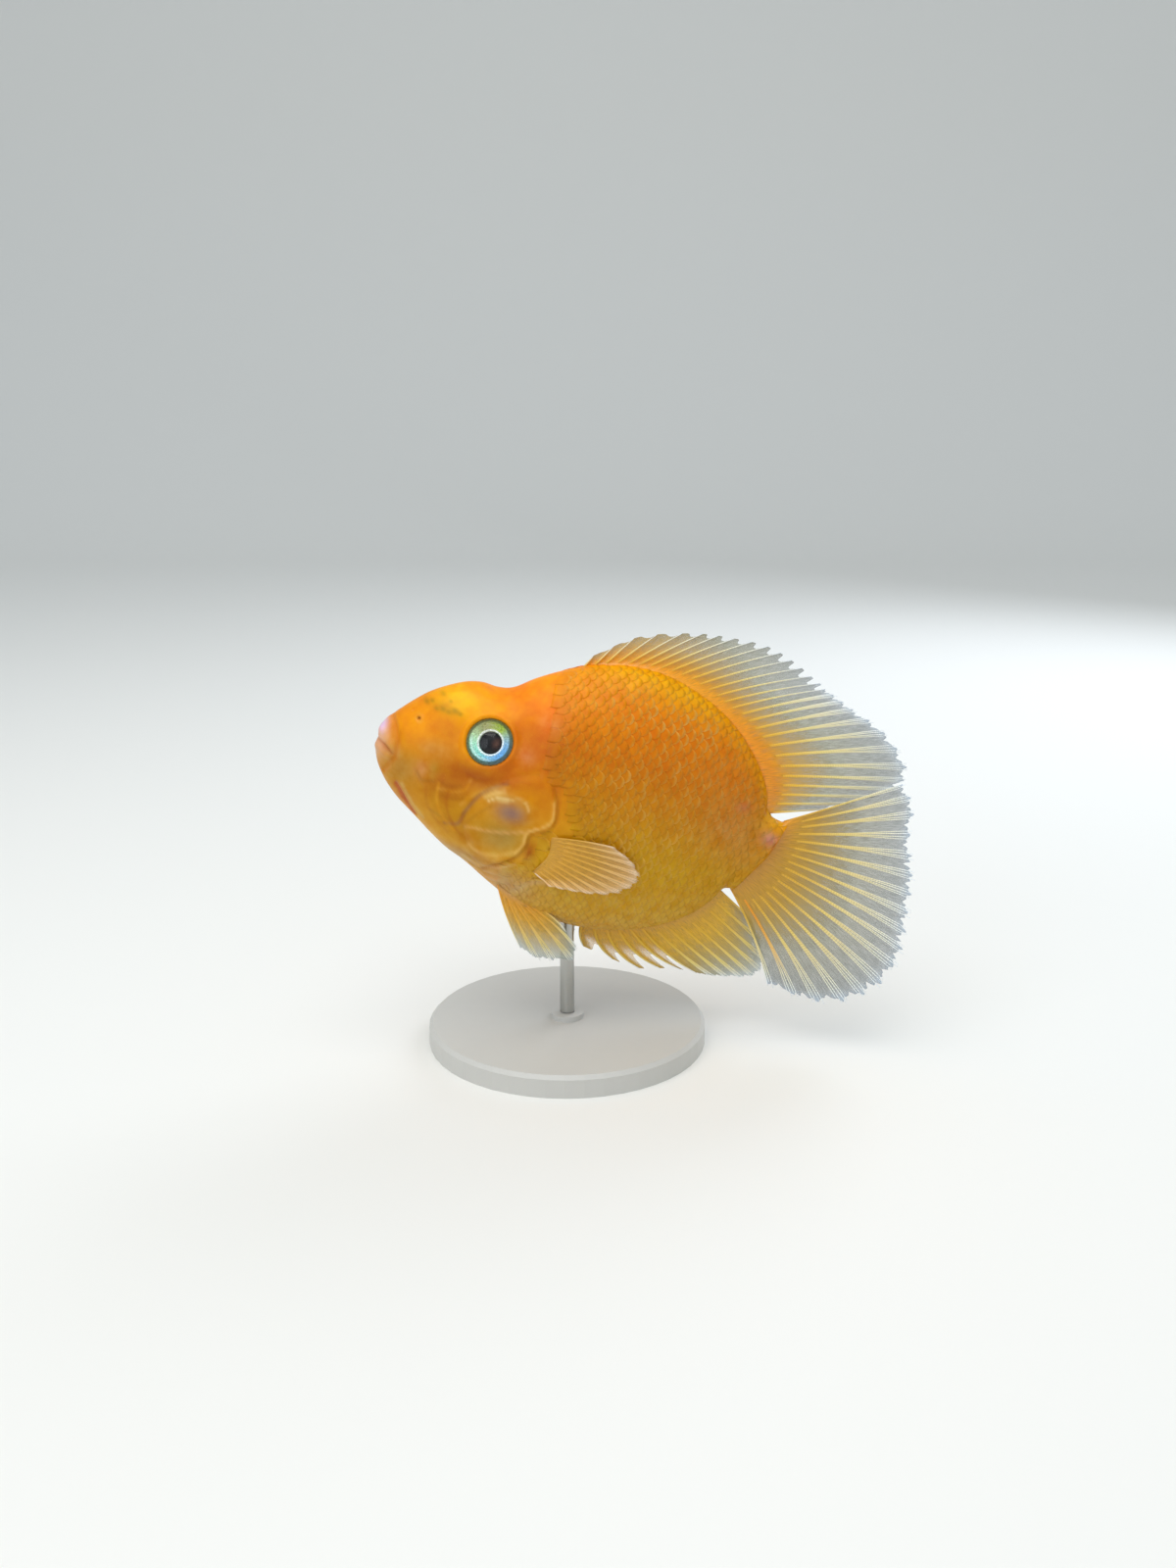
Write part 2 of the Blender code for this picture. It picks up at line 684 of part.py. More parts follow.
def make_face(head, fish, tools):
    """Eyes in their sockets with a raised rim of skin, nostrils, lips, and the creases of mouth,
    muzzle and throat."""
    eye_place, _ = skin_point(EYE_A, EYE_H)
    nostril_place, nostril_way = skin_point(NOSTRIL_A, NOSTRIL_H)
    added, cut, eyes = [], [], []
    for side, name in ((-1, "left"), (1, "right")):
        look = mirrored(EYE_LOOK, side)
        centre = mirrored(eye_place, side)
        eye = turned(f"eye_{name}", eye_profile(0.0), EYE_SIDES, fish)
        settle(eye)
        place_along(eye, centre, look)
        eyes.append(eye)
        socket = turned("socket", eye_profile(GAP), EYE_SIDES, tools)
        settle(socket)
        place_along(socket, centre, look)
        cut.append(socket)
        rim = ring("rim", RIM_RADIUS, RIM_THICKNESS, RIM_SIDES, tools)
        place_along(rim, centre, look)
        added.append(rim)
        nostril = mirrored(nostril_place, side)
        way = mirrored(nostril_way, side)
        lip = ring("nostril_rim", NOSTRIL_RIM_RADIUS, NOSTRIL_RIM_THICKNESS, NOSTRIL_RIM_SIDES, tools)
        place_along(lip, nostril, way)
        added.append(lip)
        hole = turned("nostril_hole", NOSTRIL_HOLE, NOSTRIL_HOLE_SIDES, tools)
        settle(hole)
        place_along(hole, nostril, way)
        cut.append(hole)
    upper = on_both_sides(UPPER_LIP, -UPPER_LIP_SUNK)
    lower = on_both_sides(LOWER_LIP, -LOWER_LIP_SUNK)
    added.append(tube("upper_lip", upper, LIP_THICKNESS, tools))
    added.append(tube("lower_lip", lower, LIP_THICKNESS, tools))
    combine(head, "UNION", added)
    cut.append(tube("mouth_line", on_both_sides(MOUTH_LINE, CREASE_OUT), CREASE_WIDTH, tools))
    for side in (-1, 1):
        for line in (MUZZLE_CREASE, THROAT_CREASE):
            points = [mirrored(skin_point(a, h, CREASE_OUT)[0], side) for a, h in line]
            cut.append(tube("crease", points, CREASE_WIDTH, tools))
    combine(head, "DIFFERENCE", cut)
    return eyes


def fin_grid(rays, spines, rows, branch_from=0.45, notch=0.96, spine_notch=0.92, lean=0.5):
    """Columns across a fin and rows out to its edge. Returns, for each point, its place along the
    fin in shares, its share of the way out and how much of the ray's ridge it carries. A notch is
    how far the membrane between two rays or two spines reaches."""
    place, reach, ridge = [], [], []
    out = np.linspace(0, 1, rows)
    spread = np.clip((out - branch_from) / (1 - branch_from), 0, 1)
    for i in range(rays):
        if i < spines:
            place.append(np.full(rows, float(i)))
            reach.append(out)
            ridge.append(np.ones(rows))
        else:
            for side in (-1, 0, 1):
                if 0 <= i + side * RAY_HALF <= rays - 1:
                    place.append(i + side * (RAY_HALF + RAY_FORK * spread))
                    reach.append(out * (1.0 if side else FORK_NOTCH))
                    ridge.append(np.ones(rows) if side else 1 - spread)
        if i < rays - 1:
            free = i < spines
            place.append(np.full(rows, i + (lean if free else 0.5)))
            reach.append(out * (spine_notch if free else notch))
            ridge.append(np.zeros(rows))
    place = np.clip(np.array(place) / (rays - 1), 0, 1)
    return place, np.array(reach), np.array(ridge)


def fin_places(root, tips, bow, place, reach):
    """Points of a fin in the (a, h) plane: each ray is a quadratic curve from its root to its tip,
    bowed to the left of its run."""
    start = root(place)
    end = curve_through(tips, place)
    along = end - start
    control = (start + end) / 2
    control = control + np.stack([-along[..., 1], along[..., 0]], axis=-1) * bow(place)[..., None]
    v = reach[..., None]
    return (1 - v) ** 2 * start + 2 * v * (1 - v) * control + v**2 * end


def sheet(name, near, far, collection):
    """Closed thin body between two like grids of points, both split along the same diagonals."""
    columns, rows = near.shape[:2]
    total = columns * rows
    faces = []

    def at(i, j, face):
        return face * total + i * rows + j

    for i in range(columns - 1):
        for j in range(rows - 1):
            for face in (0, 1):
                a, b = at(i, j, face), at(i + 1, j, face)
                c, d = at(i + 1, j + 1, face), at(i, j + 1, face)
                pair = [(a, b, c), (a, c, d)]
                faces += pair if face else [p[::-1] for p in pair]
    border = [(i, 0) for i in range(columns)]
    border += [(columns - 1, j) for j in range(1, rows)]
    border += [(i, rows - 1) for i in range(columns - 2, -1, -1)]
    border += [(0, j) for j in range(rows - 2, 0, -1)]
    for (i, j), (k, m) in zip(border, border[1:] + border[:1]):
        faces.append((at(i, j, 0), at(k, m, 0), at(k, m, 1), at(i, j, 1)))
    points = np.concatenate([near.reshape(-1, 3), far.reshape(-1, 3)])
    return solid_from(name, points, faces, collection)


def thickness(reach, ridge, root_extra):
    """Membrane plus the ray's ridge, both thinner outwards, plus the fleshy root."""
    ray = (RIDGE + (RIDGE_TIP - RIDGE) * reach - MEMBRANE) * ridge
    fleshy = root_extra * np.clip(1 - reach / FLESHY_REACH, 0, 1) ** 2
    return MEMBRANE + ray + fleshy


def upright_fin(name, line, tips, bow, sideways, grid, root_extra, collection):
    """A fin in the middle plane: rooted on a line of the body, leaning sideways towards its edge."""
    place, reach, ridge = grid
    flat = fin_places(line, tips, bow, place, reach)
    start = line(place)
    middle = sway(start[..., 0]) * (1 - reach) + sideways(flat[..., 0]) * reach
    half = thickness(reach, ridge, root_extra(place)) / 2
    near = np.stack([flat[..., 0], middle - half, flat[..., 1]], axis=-1)
    far = np.stack([flat[..., 0], middle + half, flat[..., 1]], axis=-1)
    return sheet(name, near, far, collection)


def outline_line(span, column, outwards):
    """Line along the back (column 0) or the belly (column 1) between two shares of the stations,
    evenly spaced by length and set off from the skin by the gap at a fin's root."""
    t = np.linspace(span[0], span[1], ROOT_LINE_POINTS)
    points = station(t)[column]
    along = np.gradient(points, axis=0)
    along /= np.linalg.norm(along, axis=1)[:, None]
    points = points + np.stack([-along[:, 1], along[:, 0]], axis=1) * outwards * ROOT_GAP
    length = np.concatenate([[0], np.cumsum(np.linalg.norm(np.diff(points, axis=0), axis=1))])
    length /= length[-1]

    def line(share):
        return np.stack([np.interp(share, length, points[:, k]) for k in (0, 1)], axis=-1)

    return line


def make_dorsal_fin(fish):
    line = outline_line(DORSAL_ROOT, 0, 1.0)
    grid = fin_grid(DORSAL_RAYS, DORSAL_SPINES, DORSAL_ROWS, spine_notch=DORSAL_NOTCH)

    def sideways(a):
        return DORSAL_SWAY * (np.maximum(a - DORSAL_SWAY_START, 0) / DORSAL_SWAY_LENGTH) ** 2

    return upright_fin(
        "dorsal_fin",
        line,
        DORSAL_TIPS,
        lambda place: DORSAL_BOW * np.sin(math.pi * place),
        sideways,
        grid,
        lambda place: between(DORSAL_FLESH, place),
        fish,
    )


def make_anal_fin(fish):
    line = outline_line(ANAL_ROOT, 1, -1.0)
    grid = fin_grid(ANAL_RAYS, ANAL_SPINES, ANAL_ROWS, spine_notch=ANAL_NOTCH, lean=ANAL_LEAN)

    def bow(place):
        return between(ANAL_BOW, np.minimum(place / ANAL_BOW_END, 1))

    def sideways(a):
        return ANAL_SWAY * (np.maximum(a - ANAL_SWAY_START, 0) / ANAL_SWAY_LENGTH) ** 1.5

    return upright_fin(
        "anal_fin",
        line,
        ANAL_TIPS,
        bow,
        sideways,
        grid,
        lambda place: between(ANAL_FLESH, place),
        fish,
    )


def make_caudal_fin(fish):
    """The tail fin, its root as thick as the end of the tail and its rays split near the edge."""
    back, belly, width = station(1.0)
    across = back - belly
    rearward = np.array([across[1], -across[0]]) / np.linalg.norm(across)

    def line(share):
        top = back + rearward * GAP
        bottom = belly + rearward * GAP
        return top + (bottom - top) * np.asarray(share)[..., None]

    def root_thickness(share):
        turn = np.arccos(np.clip(1 - 2 * share, -1, 1))
        return 2 * float(width) * width_share(turn) * CAUDAL_ROOT_SHARE

    grid = fin_grid(CAUDAL_RAYS, 0, CAUDAL_ROWS, branch_from=CAUDAL_BRANCH, notch=CAUDAL_NOTCH)
    return upright_fin(
        "caudal_fin",
        line,
        CAUDAL_TIPS,
        lambda place: between(CAUDAL_BOW, place**2),
        sway,
        grid,
        root_thickness,
        fish,
    )


def make_pectoral_fin(side, name, fish):
    """Rooted on the flank behind the gill cover and laid back along it, standing off at its tip."""
    place, reach, ridge = fin_grid(PECTORAL_RAYS, PECTORAL_RAYS, PECTORAL_ROWS, spine_notch=PECTORAL_NOTCH)
    line = fin_places(
        lambda share: curve_through(PECTORAL_ROOT, share),
        PECTORAL_TIPS,
        lambda share: between(PECTORAL_BOW, share),
        place,
        reach,
    )
    a, h = line[..., 0], line[..., 1]
    off = PECTORAL_ROOT_GAP + PECTORAL_STAND_OFF * reach**1.3
    inner = flank(a, h) + off
    outer = inner + thickness(reach, ridge, PECTORAL_FLESH)
    near = np.stack([a, side * outer, h], axis=-1)
    far = np.stack([a, side * inner, h], axis=-1)
    return sheet(f"pectoral_fin_{name}", near, far, fish)


def make_pelvic_fin(side, name, fish):
    """Rooted under the breast, each face starting from the belly's own surface."""
    place, reach, ridge = fin_grid(PELVIC_RAYS, 1, PELVIC_ROWS, PELVIC_BRANCH, PELVIC_NOTCH)
    (front_a, root_y), (rear_a, _) = PELVIC_ROOT
    half = thickness(reach, ridge, PELVIC_FLESH) / 2
    faces = []
    for face in (-1, 1):
        y = root_y - PELVIC_SPLAY * reach + face * half

        def root(share):
            a = between((front_a, rear_a), share)
            return np.stack([a, underside(a, y) - PELVIC_ROOT_GAP], axis=-1)

        flat = fin_places(root, PELVIC_TIPS, lambda share: between(PELVIC_BOW, share), place, reach)
        faces.append(np.stack([flat[..., 0], -side * y, flat[..., 1]], axis=-1))
    return sheet(f"pelvic_fin_{name}", faces[0], faces[1], fish)


def belly_over(x, y):
    """World height of the belly above the point (x, y) of the stand, by bisection."""
    low, high = BASE_THICKNESS, SNOUT_Z
    for _ in range(BISECTIONS):
        z = (low + high) / 2
        right, up = x - SNOUT_X, z - SNOUT_Z
        a = right * math.cos(NOSE_UP) - up * math.sin(NOSE_UP)
        h = right * math.sin(NOSE_UP) + up * math.cos(NOSE_UP)
        if flank(a, h) > abs(y):
            high = z
        else:
            low = z
    return high


def make_stand(stand):
    """A turned base with a low boss, and a rod whose upper end is cut to the belly's slope."""
    profile = [
        (0.0, BASE_THICKNESS + BOSS_HEIGHT),
        (BOSS_RADIUS, BASE_THICKNESS + BOSS_HEIGHT),
        (BOSS_RADIUS, BASE_THICKNESS),
        (BASE_RADIUS - BASE_BEVEL, BASE_THICKNESS),
        (BASE_RADIUS, BASE_THICKNESS - BASE_BEVEL),
        (BASE_RADIUS, 0.0),
        (0.0, 0.0),
    ]
    base = turned("stand_base", profile, BASE_SIDES, stand)
    settle(base)
    foot = BASE_THICKNESS + BOSS_HEIGHT + GAP
    shape = bmesh.new()
    bmesh.ops.create_cone(
        shape,
        cap_ends=True,
        segments=ROD_SIDES,
        radius1=ROD_RADIUS * MM,
        radius2=ROD_RADIUS * MM,
        depth=MM,
    )
    for vertex in shape.verts:
        top = vertex.co.z > 0
        x, y = vertex.co.x / MM, vertex.co.y / MM
        vertex.co.z = (belly_over(x, y) - ROD_TOP_GAP if top else foot) * MM
    mesh = bpy.data.meshes.new("stand_rod")
    shape.to_mesh(mesh)
    shape.free()
    rod = new_object("stand_rod", mesh, stand)
    return base, rod


def finish(pieces, look):
    for piece in pieces:
        piece.data.materials.clear()
        piece.data.materials.append(look)
        piece.data.shade_smooth()
        piece.data.set_sharp_from_angle(angle=SHARP_ANGLE)


def main():
    for old in list(bpy.data.objects):
        bpy.data.objects.remove(old)
    fish = new_collection("blood_parrot_cichlid")
    stand = new_collection("display_stand")
    tools = new_collection("cutters")

    head, trunk, tail = make_body(fish, tools)
    covers = make_gill_covers(head, fish, tools)
    eyes = make_face(head, fish, tools)
    fins = [make_dorsal_fin(fish), make_anal_fin(fish), make_caudal_fin(fish)]
    for side, name in ((-1, "left"), (1, "right")):
        fins.append(make_pectoral_fin(side, name, fish))
        fins.append(make_pelvic_fin(side, name, fish))
    base, rod = make_stand(stand)

    finish([head, trunk, tail] + covers, material(*SKIN))
    finish(eyes, material(*EYE))
    finish(fins, material(*FIN))
    finish([base], material(*BASE))
    finish([rod], material(*ROD))

    pose = bpy.data.objects.new("swimming_pose", None)
    fish.objects.link(pose)
    pose.location = (SNOUT_X * MM, 0.0, SNOUT_Z * MM)
    pose.rotation_euler = (0.0, NOSE_UP, 0.0)
    for piece in [head, trunk, tail] + covers + eyes + fins:
        piece.parent = pose


main()
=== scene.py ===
"""The looks of the blood parrot cichlid, a life-size museum model on a plain stand.

Lengths are in millimetres until a mesh is made. The fish has its own level frame: a from the snout
tailwards, y sideways with the left flank at -y, and h upwards. in_row carries that frame, nose-up,
over the stand.
"""

import math

import bpy
import numpy as np
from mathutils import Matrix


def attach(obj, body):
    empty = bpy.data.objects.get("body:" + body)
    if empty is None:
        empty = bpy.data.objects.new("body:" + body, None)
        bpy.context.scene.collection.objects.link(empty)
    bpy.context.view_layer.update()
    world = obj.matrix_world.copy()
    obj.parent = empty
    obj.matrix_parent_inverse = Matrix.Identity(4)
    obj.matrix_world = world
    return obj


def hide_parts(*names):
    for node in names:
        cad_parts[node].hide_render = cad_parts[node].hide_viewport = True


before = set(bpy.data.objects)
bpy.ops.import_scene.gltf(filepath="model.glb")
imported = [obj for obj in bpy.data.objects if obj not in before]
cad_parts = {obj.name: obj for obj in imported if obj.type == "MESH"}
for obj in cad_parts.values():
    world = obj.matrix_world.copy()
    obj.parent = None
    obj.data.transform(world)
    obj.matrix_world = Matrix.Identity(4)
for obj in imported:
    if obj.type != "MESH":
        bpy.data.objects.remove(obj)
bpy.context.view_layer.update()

# Camera: at the photograph's height and pitch, 0.4 m in front of the left flank, looking down a
# little, with a long-side view as wide as a phone's main camera gives.
camera_data = bpy.data.cameras.new("photo_camera")
camera_data.lens = 35.0
camera_data.sensor_width = 36.0
camera_data.clip_start = 0.02
camera = bpy.data.objects.new("photo_camera", camera_data)
camera.location = (0.00573, -0.3908, 0.1772)
camera.rotation_euler = (math.radians(75), 0.0, 0.0)
bpy.context.scene.collection.objects.link(camera)
bpy.context.scene.camera = camera
bpy.context.scene.view_settings.view_transform = "Standard"

# Studio floor: a sheet of pale seamless paper that lies under the stand and sweeps up behind it.
# It is matt, so that it takes only a soft shadow.
MM = 0.001
FLOOR_FRONT = -3.2
FLOOR_DEEP = 1.1
FLOOR_WIDE = 3.6
SWEEP_RADIUS = 0.5
SWEEP_HIGH = 2.2


def linear(code):
    """sRGB hex colour as linear light, by the standard curve: a straight foot, then power 2.4."""
    srgb = np.array([int(code[i : i + 2], 16) for i in (1, 3, 5)]) / 255
    return np.where(srgb <= 0.04045, srgb / 12.92, ((srgb + 0.055) / 1.055) ** 2.4)


def set_node(node, *sources, **settings):
    """Sets a node's own fields and the values of its inputs. A socket, or a node that stands for
    its first output, is linked to the input instead, and those without a name to the first ones."""
    for name, value in [*enumerate(sources), *settings.items()]:
        if name in settings and hasattr(node, name):
            setattr(node, name, value)
            continue
        target = node.inputs[name.replace("_", " ") if name in settings else name]
        if isinstance(value, bpy.types.Node):
            value = value.outputs[0]
        if isinstance(value, bpy.types.NodeSocket):
            node.id_data.links.new(value, target)
        else:
            target.default_value = value
    return node


def add_node(tree, kind, *sources, **settings):
    """Adds a shader node to a material's tree and sets it."""
    return set_node(tree.nodes.new("ShaderNode" + kind), *sources, **settings)


def new_material(name, colour="#808080", **settings):
    """Material with one Principled shader; settings are the shader's own input values."""
    made = bpy.data.materials.new(name)
    made.use_nodes = True
    shader = made.node_tree.nodes["Principled BSDF"]
    set_node(shader, Base_Color=(*linear(colour), 1.0), **settings)
    return made, made.node_tree, shader


def grid_faces(rows, columns, closed=False):
    """Quads of a grid of points numbered row by row, whose columns may join round."""
    i = np.arange(rows - 1)[:, None] * columns
    j = np.arange(columns if closed else columns - 1)[None, :]
    m = (j + 1) % columns
    return np.stack([i + j, i + m, i + columns + m, i + columns + j], -1).reshape(-1, 4)


def new_piece(name, points, faces, materials, slots=None):
    """Object from points in metres and faces of three or four corners, by whole arrays, shaded
    smooth. A corner of -1 leaves a triangle."""
    faces = np.asarray(faces)
    used = faces >= 0
    mesh = bpy.data.meshes.new(name)
    mesh.vertices.add(len(points))
    mesh.vertices.foreach_set("co", np.asarray(points, np.float32).ravel())
    mesh.loops.add(int(used.sum()))
    mesh.loops.foreach_set("vertex_index", faces[used].astype(np.int32))
    mesh.polygons.add(len(faces))
    counts = used.sum(axis=1)
    starts = np.concatenate([[0], np.cumsum(counts)[:-1]]).astype(np.int32)
    mesh.polygons.foreach_set("loop_start", starts)
    for material in materials:
        mesh.materials.append(material)
    if slots is not None:
        mesh.polygons.foreach_set("material_index", np.asarray(slots, np.int32))
    mesh.update(calc_edges=True)
    mesh.polygons.foreach_set("use_smooth", np.ones(len(faces), bool))
    mesh.validate()
    piece = bpy.data.objects.new(name, mesh)
    bpy.context.scene.collection.objects.link(piece)
    return piece


# Uncoated paper, pressed between felts: dead matt, with a faint tooth. Its fibres, a tenth of a
# millimetre in life, are drawn 1.1 mm wide so that they show.
PAPER_FIBRE = 1.1
paper, tree, shader = new_material("uncoated_paper", "#EFEDE8", Roughness=0.9)
place = add_node(tree, "TexCoord")
fibres = add_node(tree, "TexNoise", place.outputs["Object"], Scale=1 / (PAPER_FIBRE * MM))
bump = add_node(tree, "Bump", Height=fibres, Strength=0.05, Distance=0.0003)
set_node(shader, Normal=bump)

turn = np.linspace(0, math.pi / 2, 24)
sweep_end = FLOOR_DEEP + SWEEP_RADIUS
sweep_y = np.concatenate([[FLOOR_FRONT], FLOOR_DEEP + SWEEP_RADIUS * np.sin(turn), [sweep_end]])
sweep_z = np.concatenate([[0.0], SWEEP_RADIUS * (1 - np.cos(turn)), [SWEEP_HIGH]])
sweep_x = np.array([-FLOOR_WIDE, FLOOR_WIDE])
grid = np.stack(np.broadcast_arrays(sweep_x[None, :], sweep_y[:, None], sweep_z[:, None]), -1)
floor = new_piece("studio_floor", grid.reshape(-1, 3), grid_faces(len(sweep_y), 2), [paper])

# Lamps: a broad soft box overhead like the light of a tank, a weaker one at the camera's left, and
# a low one behind that shines through the fins. All three are aimed at the fish.
LAMPS_AIM = np.array([0.0, 0.0, 0.08])
for name, spot, size, power, tint in (
    ("overhead", (-0.10, -0.22, 0.85), 0.75, 4.3, "#FFFDF8"),
    ("front_left", (-0.55, -0.75, 0.40), 0.60, 1.7, "#F4F8FF"),
    ("behind", (0.45, 0.55, 0.45), 0.45, 2.2, "#EAF3FF"),
):
    lamp = bpy.data.lights.new(name, "AREA")
    lamp.size = size
    lamp.energy = power
    lamp.color = linear(tint)
    holder = bpy.data.objects.new(name, lamp)
    holder.location = spot
    aim = LAMPS_AIM - np.array(spot)
    flat = math.hypot(aim[0], aim[1])
    holder.rotation_euler = (math.atan2(flat, -aim[2]), 0.0, math.atan2(aim[1], aim[0]) - math.pi / 2)
    bpy.context.scene.collection.objects.link(holder)
sky = bpy.data.worlds.new("soft_surround")
sky.use_nodes = True
sky.node_tree.nodes["Background"].inputs["Color"].default_value = (*linear("#DCE6EE"), 1.0)
sky.node_tree.nodes["Background"].inputs["Strength"].default_value = 0.68
bpy.context.scene.world = sky

# Skin: one sheet from the lips to the root of the tail fin, wet and smooth on the head. It carries
# the lips, the folds of the muzzle and throat, the nostrils, the orbits and the gill covers.
NOSE_UP = math.radians(17)
SNOUT_X = -49.2
SNOUT_Z = 85.3
COAT_DEPTH = 0.2
SWING, SWING_FROM, SWING_OVER = 14.0, 85.0, 70.0  # to the left, from a on, over this length
# Back a, back h, belly a, belly h, half width, from the lips to the tail's root.
STATIONS = np.array(
    [
        (-0.6, 0.6, -0.6, 0.6, 0.0), (-0.4, 3.9, -0.3, -2.8, 3.0), (0.6, 6.1, 0.7, -5.6, 4.5),
        (2.2, 7.9, 2.3, -8.1, 5.6), (5.0, 11.4, 5.2, -11.3, 7.0), (9.0, 15.5, 9.0, -14.3, 8.7),
        (13.5, 18.8, 14.0, -17.3, 10.4), (18.0, 21.2, 19.5, -20.7, 11.9),
        (22.0, 22.2, 25.0, -23.6, 13.0), (26.0, 22.1, 30.0, -25.4, 14.0),
        (30.0, 23.3, 35.0, -27.9, 15.0), (35.0, 27.3, 40.0, -30.3, 15.9),
        (41.0, 31.2, 46.0, -32.6, 16.8), (48.0, 34.9, 53.0, -34.2, 17.3),
        (56.0, 37.3, 60.0, -34.7, 17.3), (65.0, 38.2, 67.0, -34.3, 16.6),
        (74.0, 36.8, 74.0, -33.0, 15.2), (83.0, 33.6, 81.0, -30.6, 13.2),
        (91.0, 28.8, 87.5, -27.2, 10.8), (97.5, 22.8, 93.0, -22.8, 8.4),
        (102.0, 16.6, 96.8, -18.0, 6.5), (104.4, 10.4, 99.0, -13.4, 5.3),
        (107.5, 9.4, 100.6, -12.6, 4.6), (110.2, 9.2, 102.0, -12.4, 4.0),
    ]
)


def in_row(points):
    """The fish's own frame, turned nose-up about the y axis and moved over the stand, in metres."""
    a, y, h = points[..., 0], points[..., 1], points[..., 2]
    x = SNOUT_X + a * math.cos(NOSE_UP) + h * math.sin(NOSE_UP)
    z = SNOUT_Z - a * math.sin(NOSE_UP) + h * math.cos(NOSE_UP)
    return np.stack([x, y, z], -1) * MM


def curve_through(knots, t, before=None):
    """Catmull-Rom curve through evenly spaced knots, t from 0 at the first to 1 at the last."""
    knots = np.asarray(knots, float)
    last = len(knots) - 1
    at = np.clip(np.asarray(t, float), 0.0, 1.0) * last
    index = np.minimum(at.astype(int), last - 1)
    u = (at - index)[..., None]
    first = 2 * knots[0] - knots[1] if before is None else np.asarray(before, float)
    padded = np.vstack([first, knots, 2 * knots[-1] - knots[-2]])
    p0, p1, p2, p3 = (padded[index + k] for k in range(4))
    square = 2 * p0 - 5 * p1 + 4 * p2 - p3
    cube = 3 * p1 - p0 - 3 * p2 + p3
    return 0.5 * (2 * p1 + (p2 - p0) * u + square * u**2 + cube * u**3)


def station(t):
    """Back point, belly point and half width at a share t of the stations. The knot before the
    snout is the lips station upside down, so that the snout is round."""
    lips = STATIONS[1]
    row = curve_through(STATIONS, t, (lips[2], lips[3], lips[0], lips[1], -lips[4]))
    return row[..., 0:2], row[..., 2:4], row[..., 4]


def width_share(phi):
    """Share of the half width at the angle phi from the back: a power of the sine, sharper above."""
    return np.abs(np.sin(phi)) ** (0.86 + 0.26 * (1 + np.cos(phi)) / 2)


def sway(a):
    """Sideways place of the middle plane, which swings to the left by a square law."""
    return -SWING * (np.maximum(a - SWING_FROM, 0.0) / SWING_OVER) ** 2


def body_point(t, phi):
    """Point of the bare form: across the line from back to belly by the cosine of phi, sideways by
    the width share; phi is 0 on the back and a quarter turn on the left flank."""
    t, phi = np.broadcast_arrays(np.asarray(t, float), np.asarray(phi, float))
    back, belly, width = station(t)
    side = (back + belly) / 2 + (back - belly) / 2 * np.cos(phi)[..., None]
    y = sway(side[..., 0]) - width * width_share(phi) * np.sign(np.sin(phi))
    return np.stack([side[..., 0], y, side[..., 1]], axis=-1)


def flank(a, h):
    """Half width of the body at (a, h), by bisection for the station whose line holds the point."""
    a, h = np.broadcast_arrays(np.asarray(a, float), np.asarray(h, float))
    low, high = np.zeros(a.shape), np.ones(a.shape)
    for _ in range(40):
        t = (low + high) / 2
        back, belly, _ = station(t)
        over = back - belly
        across = over[..., 0] * (h - belly[..., 1]) - over[..., 1] * (a - belly[..., 0])
        low, high = np.where(across < 0, t, low), np.where(across < 0, high, t)
    back, belly, width = station(t)
    half, middle = (back - belly) / 2, (back + belly) / 2
    share = ((np.stack([a, h], axis=-1) - middle) * half).sum(-1) / (half**2).sum(-1)
    return width * width_share(np.arccos(np.clip(share, -1.0, 1.0)))


def on_flank(a, h, side=-1):
    """Places (a, h) laid on a flank of the bare form."""
    return np.stack([a, sway(a) + side * flank(a, h), h], -1)


def line_on_flank(line, side=-1):
    """Smooth curve through places (a, h), laid on a flank."""
    return on_flank(*curve_through(line, np.linspace(0, 1, 18)).T, side)


def distance_to(points, line):
    """Shortest distance from each point to the straight parts of a bent line."""
    best = np.full(points.shape[:-1], np.inf)
    for start, end in zip(line, line[1:]):
        along = end - start
        share = np.clip(((points - start) @ along) / max(along @ along, 1e-9), 0, 1)
        gap = np.linalg.norm(points - start - share[..., None] * along, axis=-1)
        best = np.minimum(best, gap)
    return best


def ease(x):
    """Smooth step from 0 to 1."""
    x = np.clip(x, 0, 1)
    return x * x * (3 - 2 * x)


def bell(*shares):
    """Bell curve of distances given as shares of its reach: 1 in the middle, about a third there."""
    return np.exp(-sum(share**2 for share in shares))


def unit(vectors):
    """Vectors brought to length 1."""
    return vectors / np.maximum(np.linalg.norm(vectors, axis=-1, keepdims=True), 1e-9)


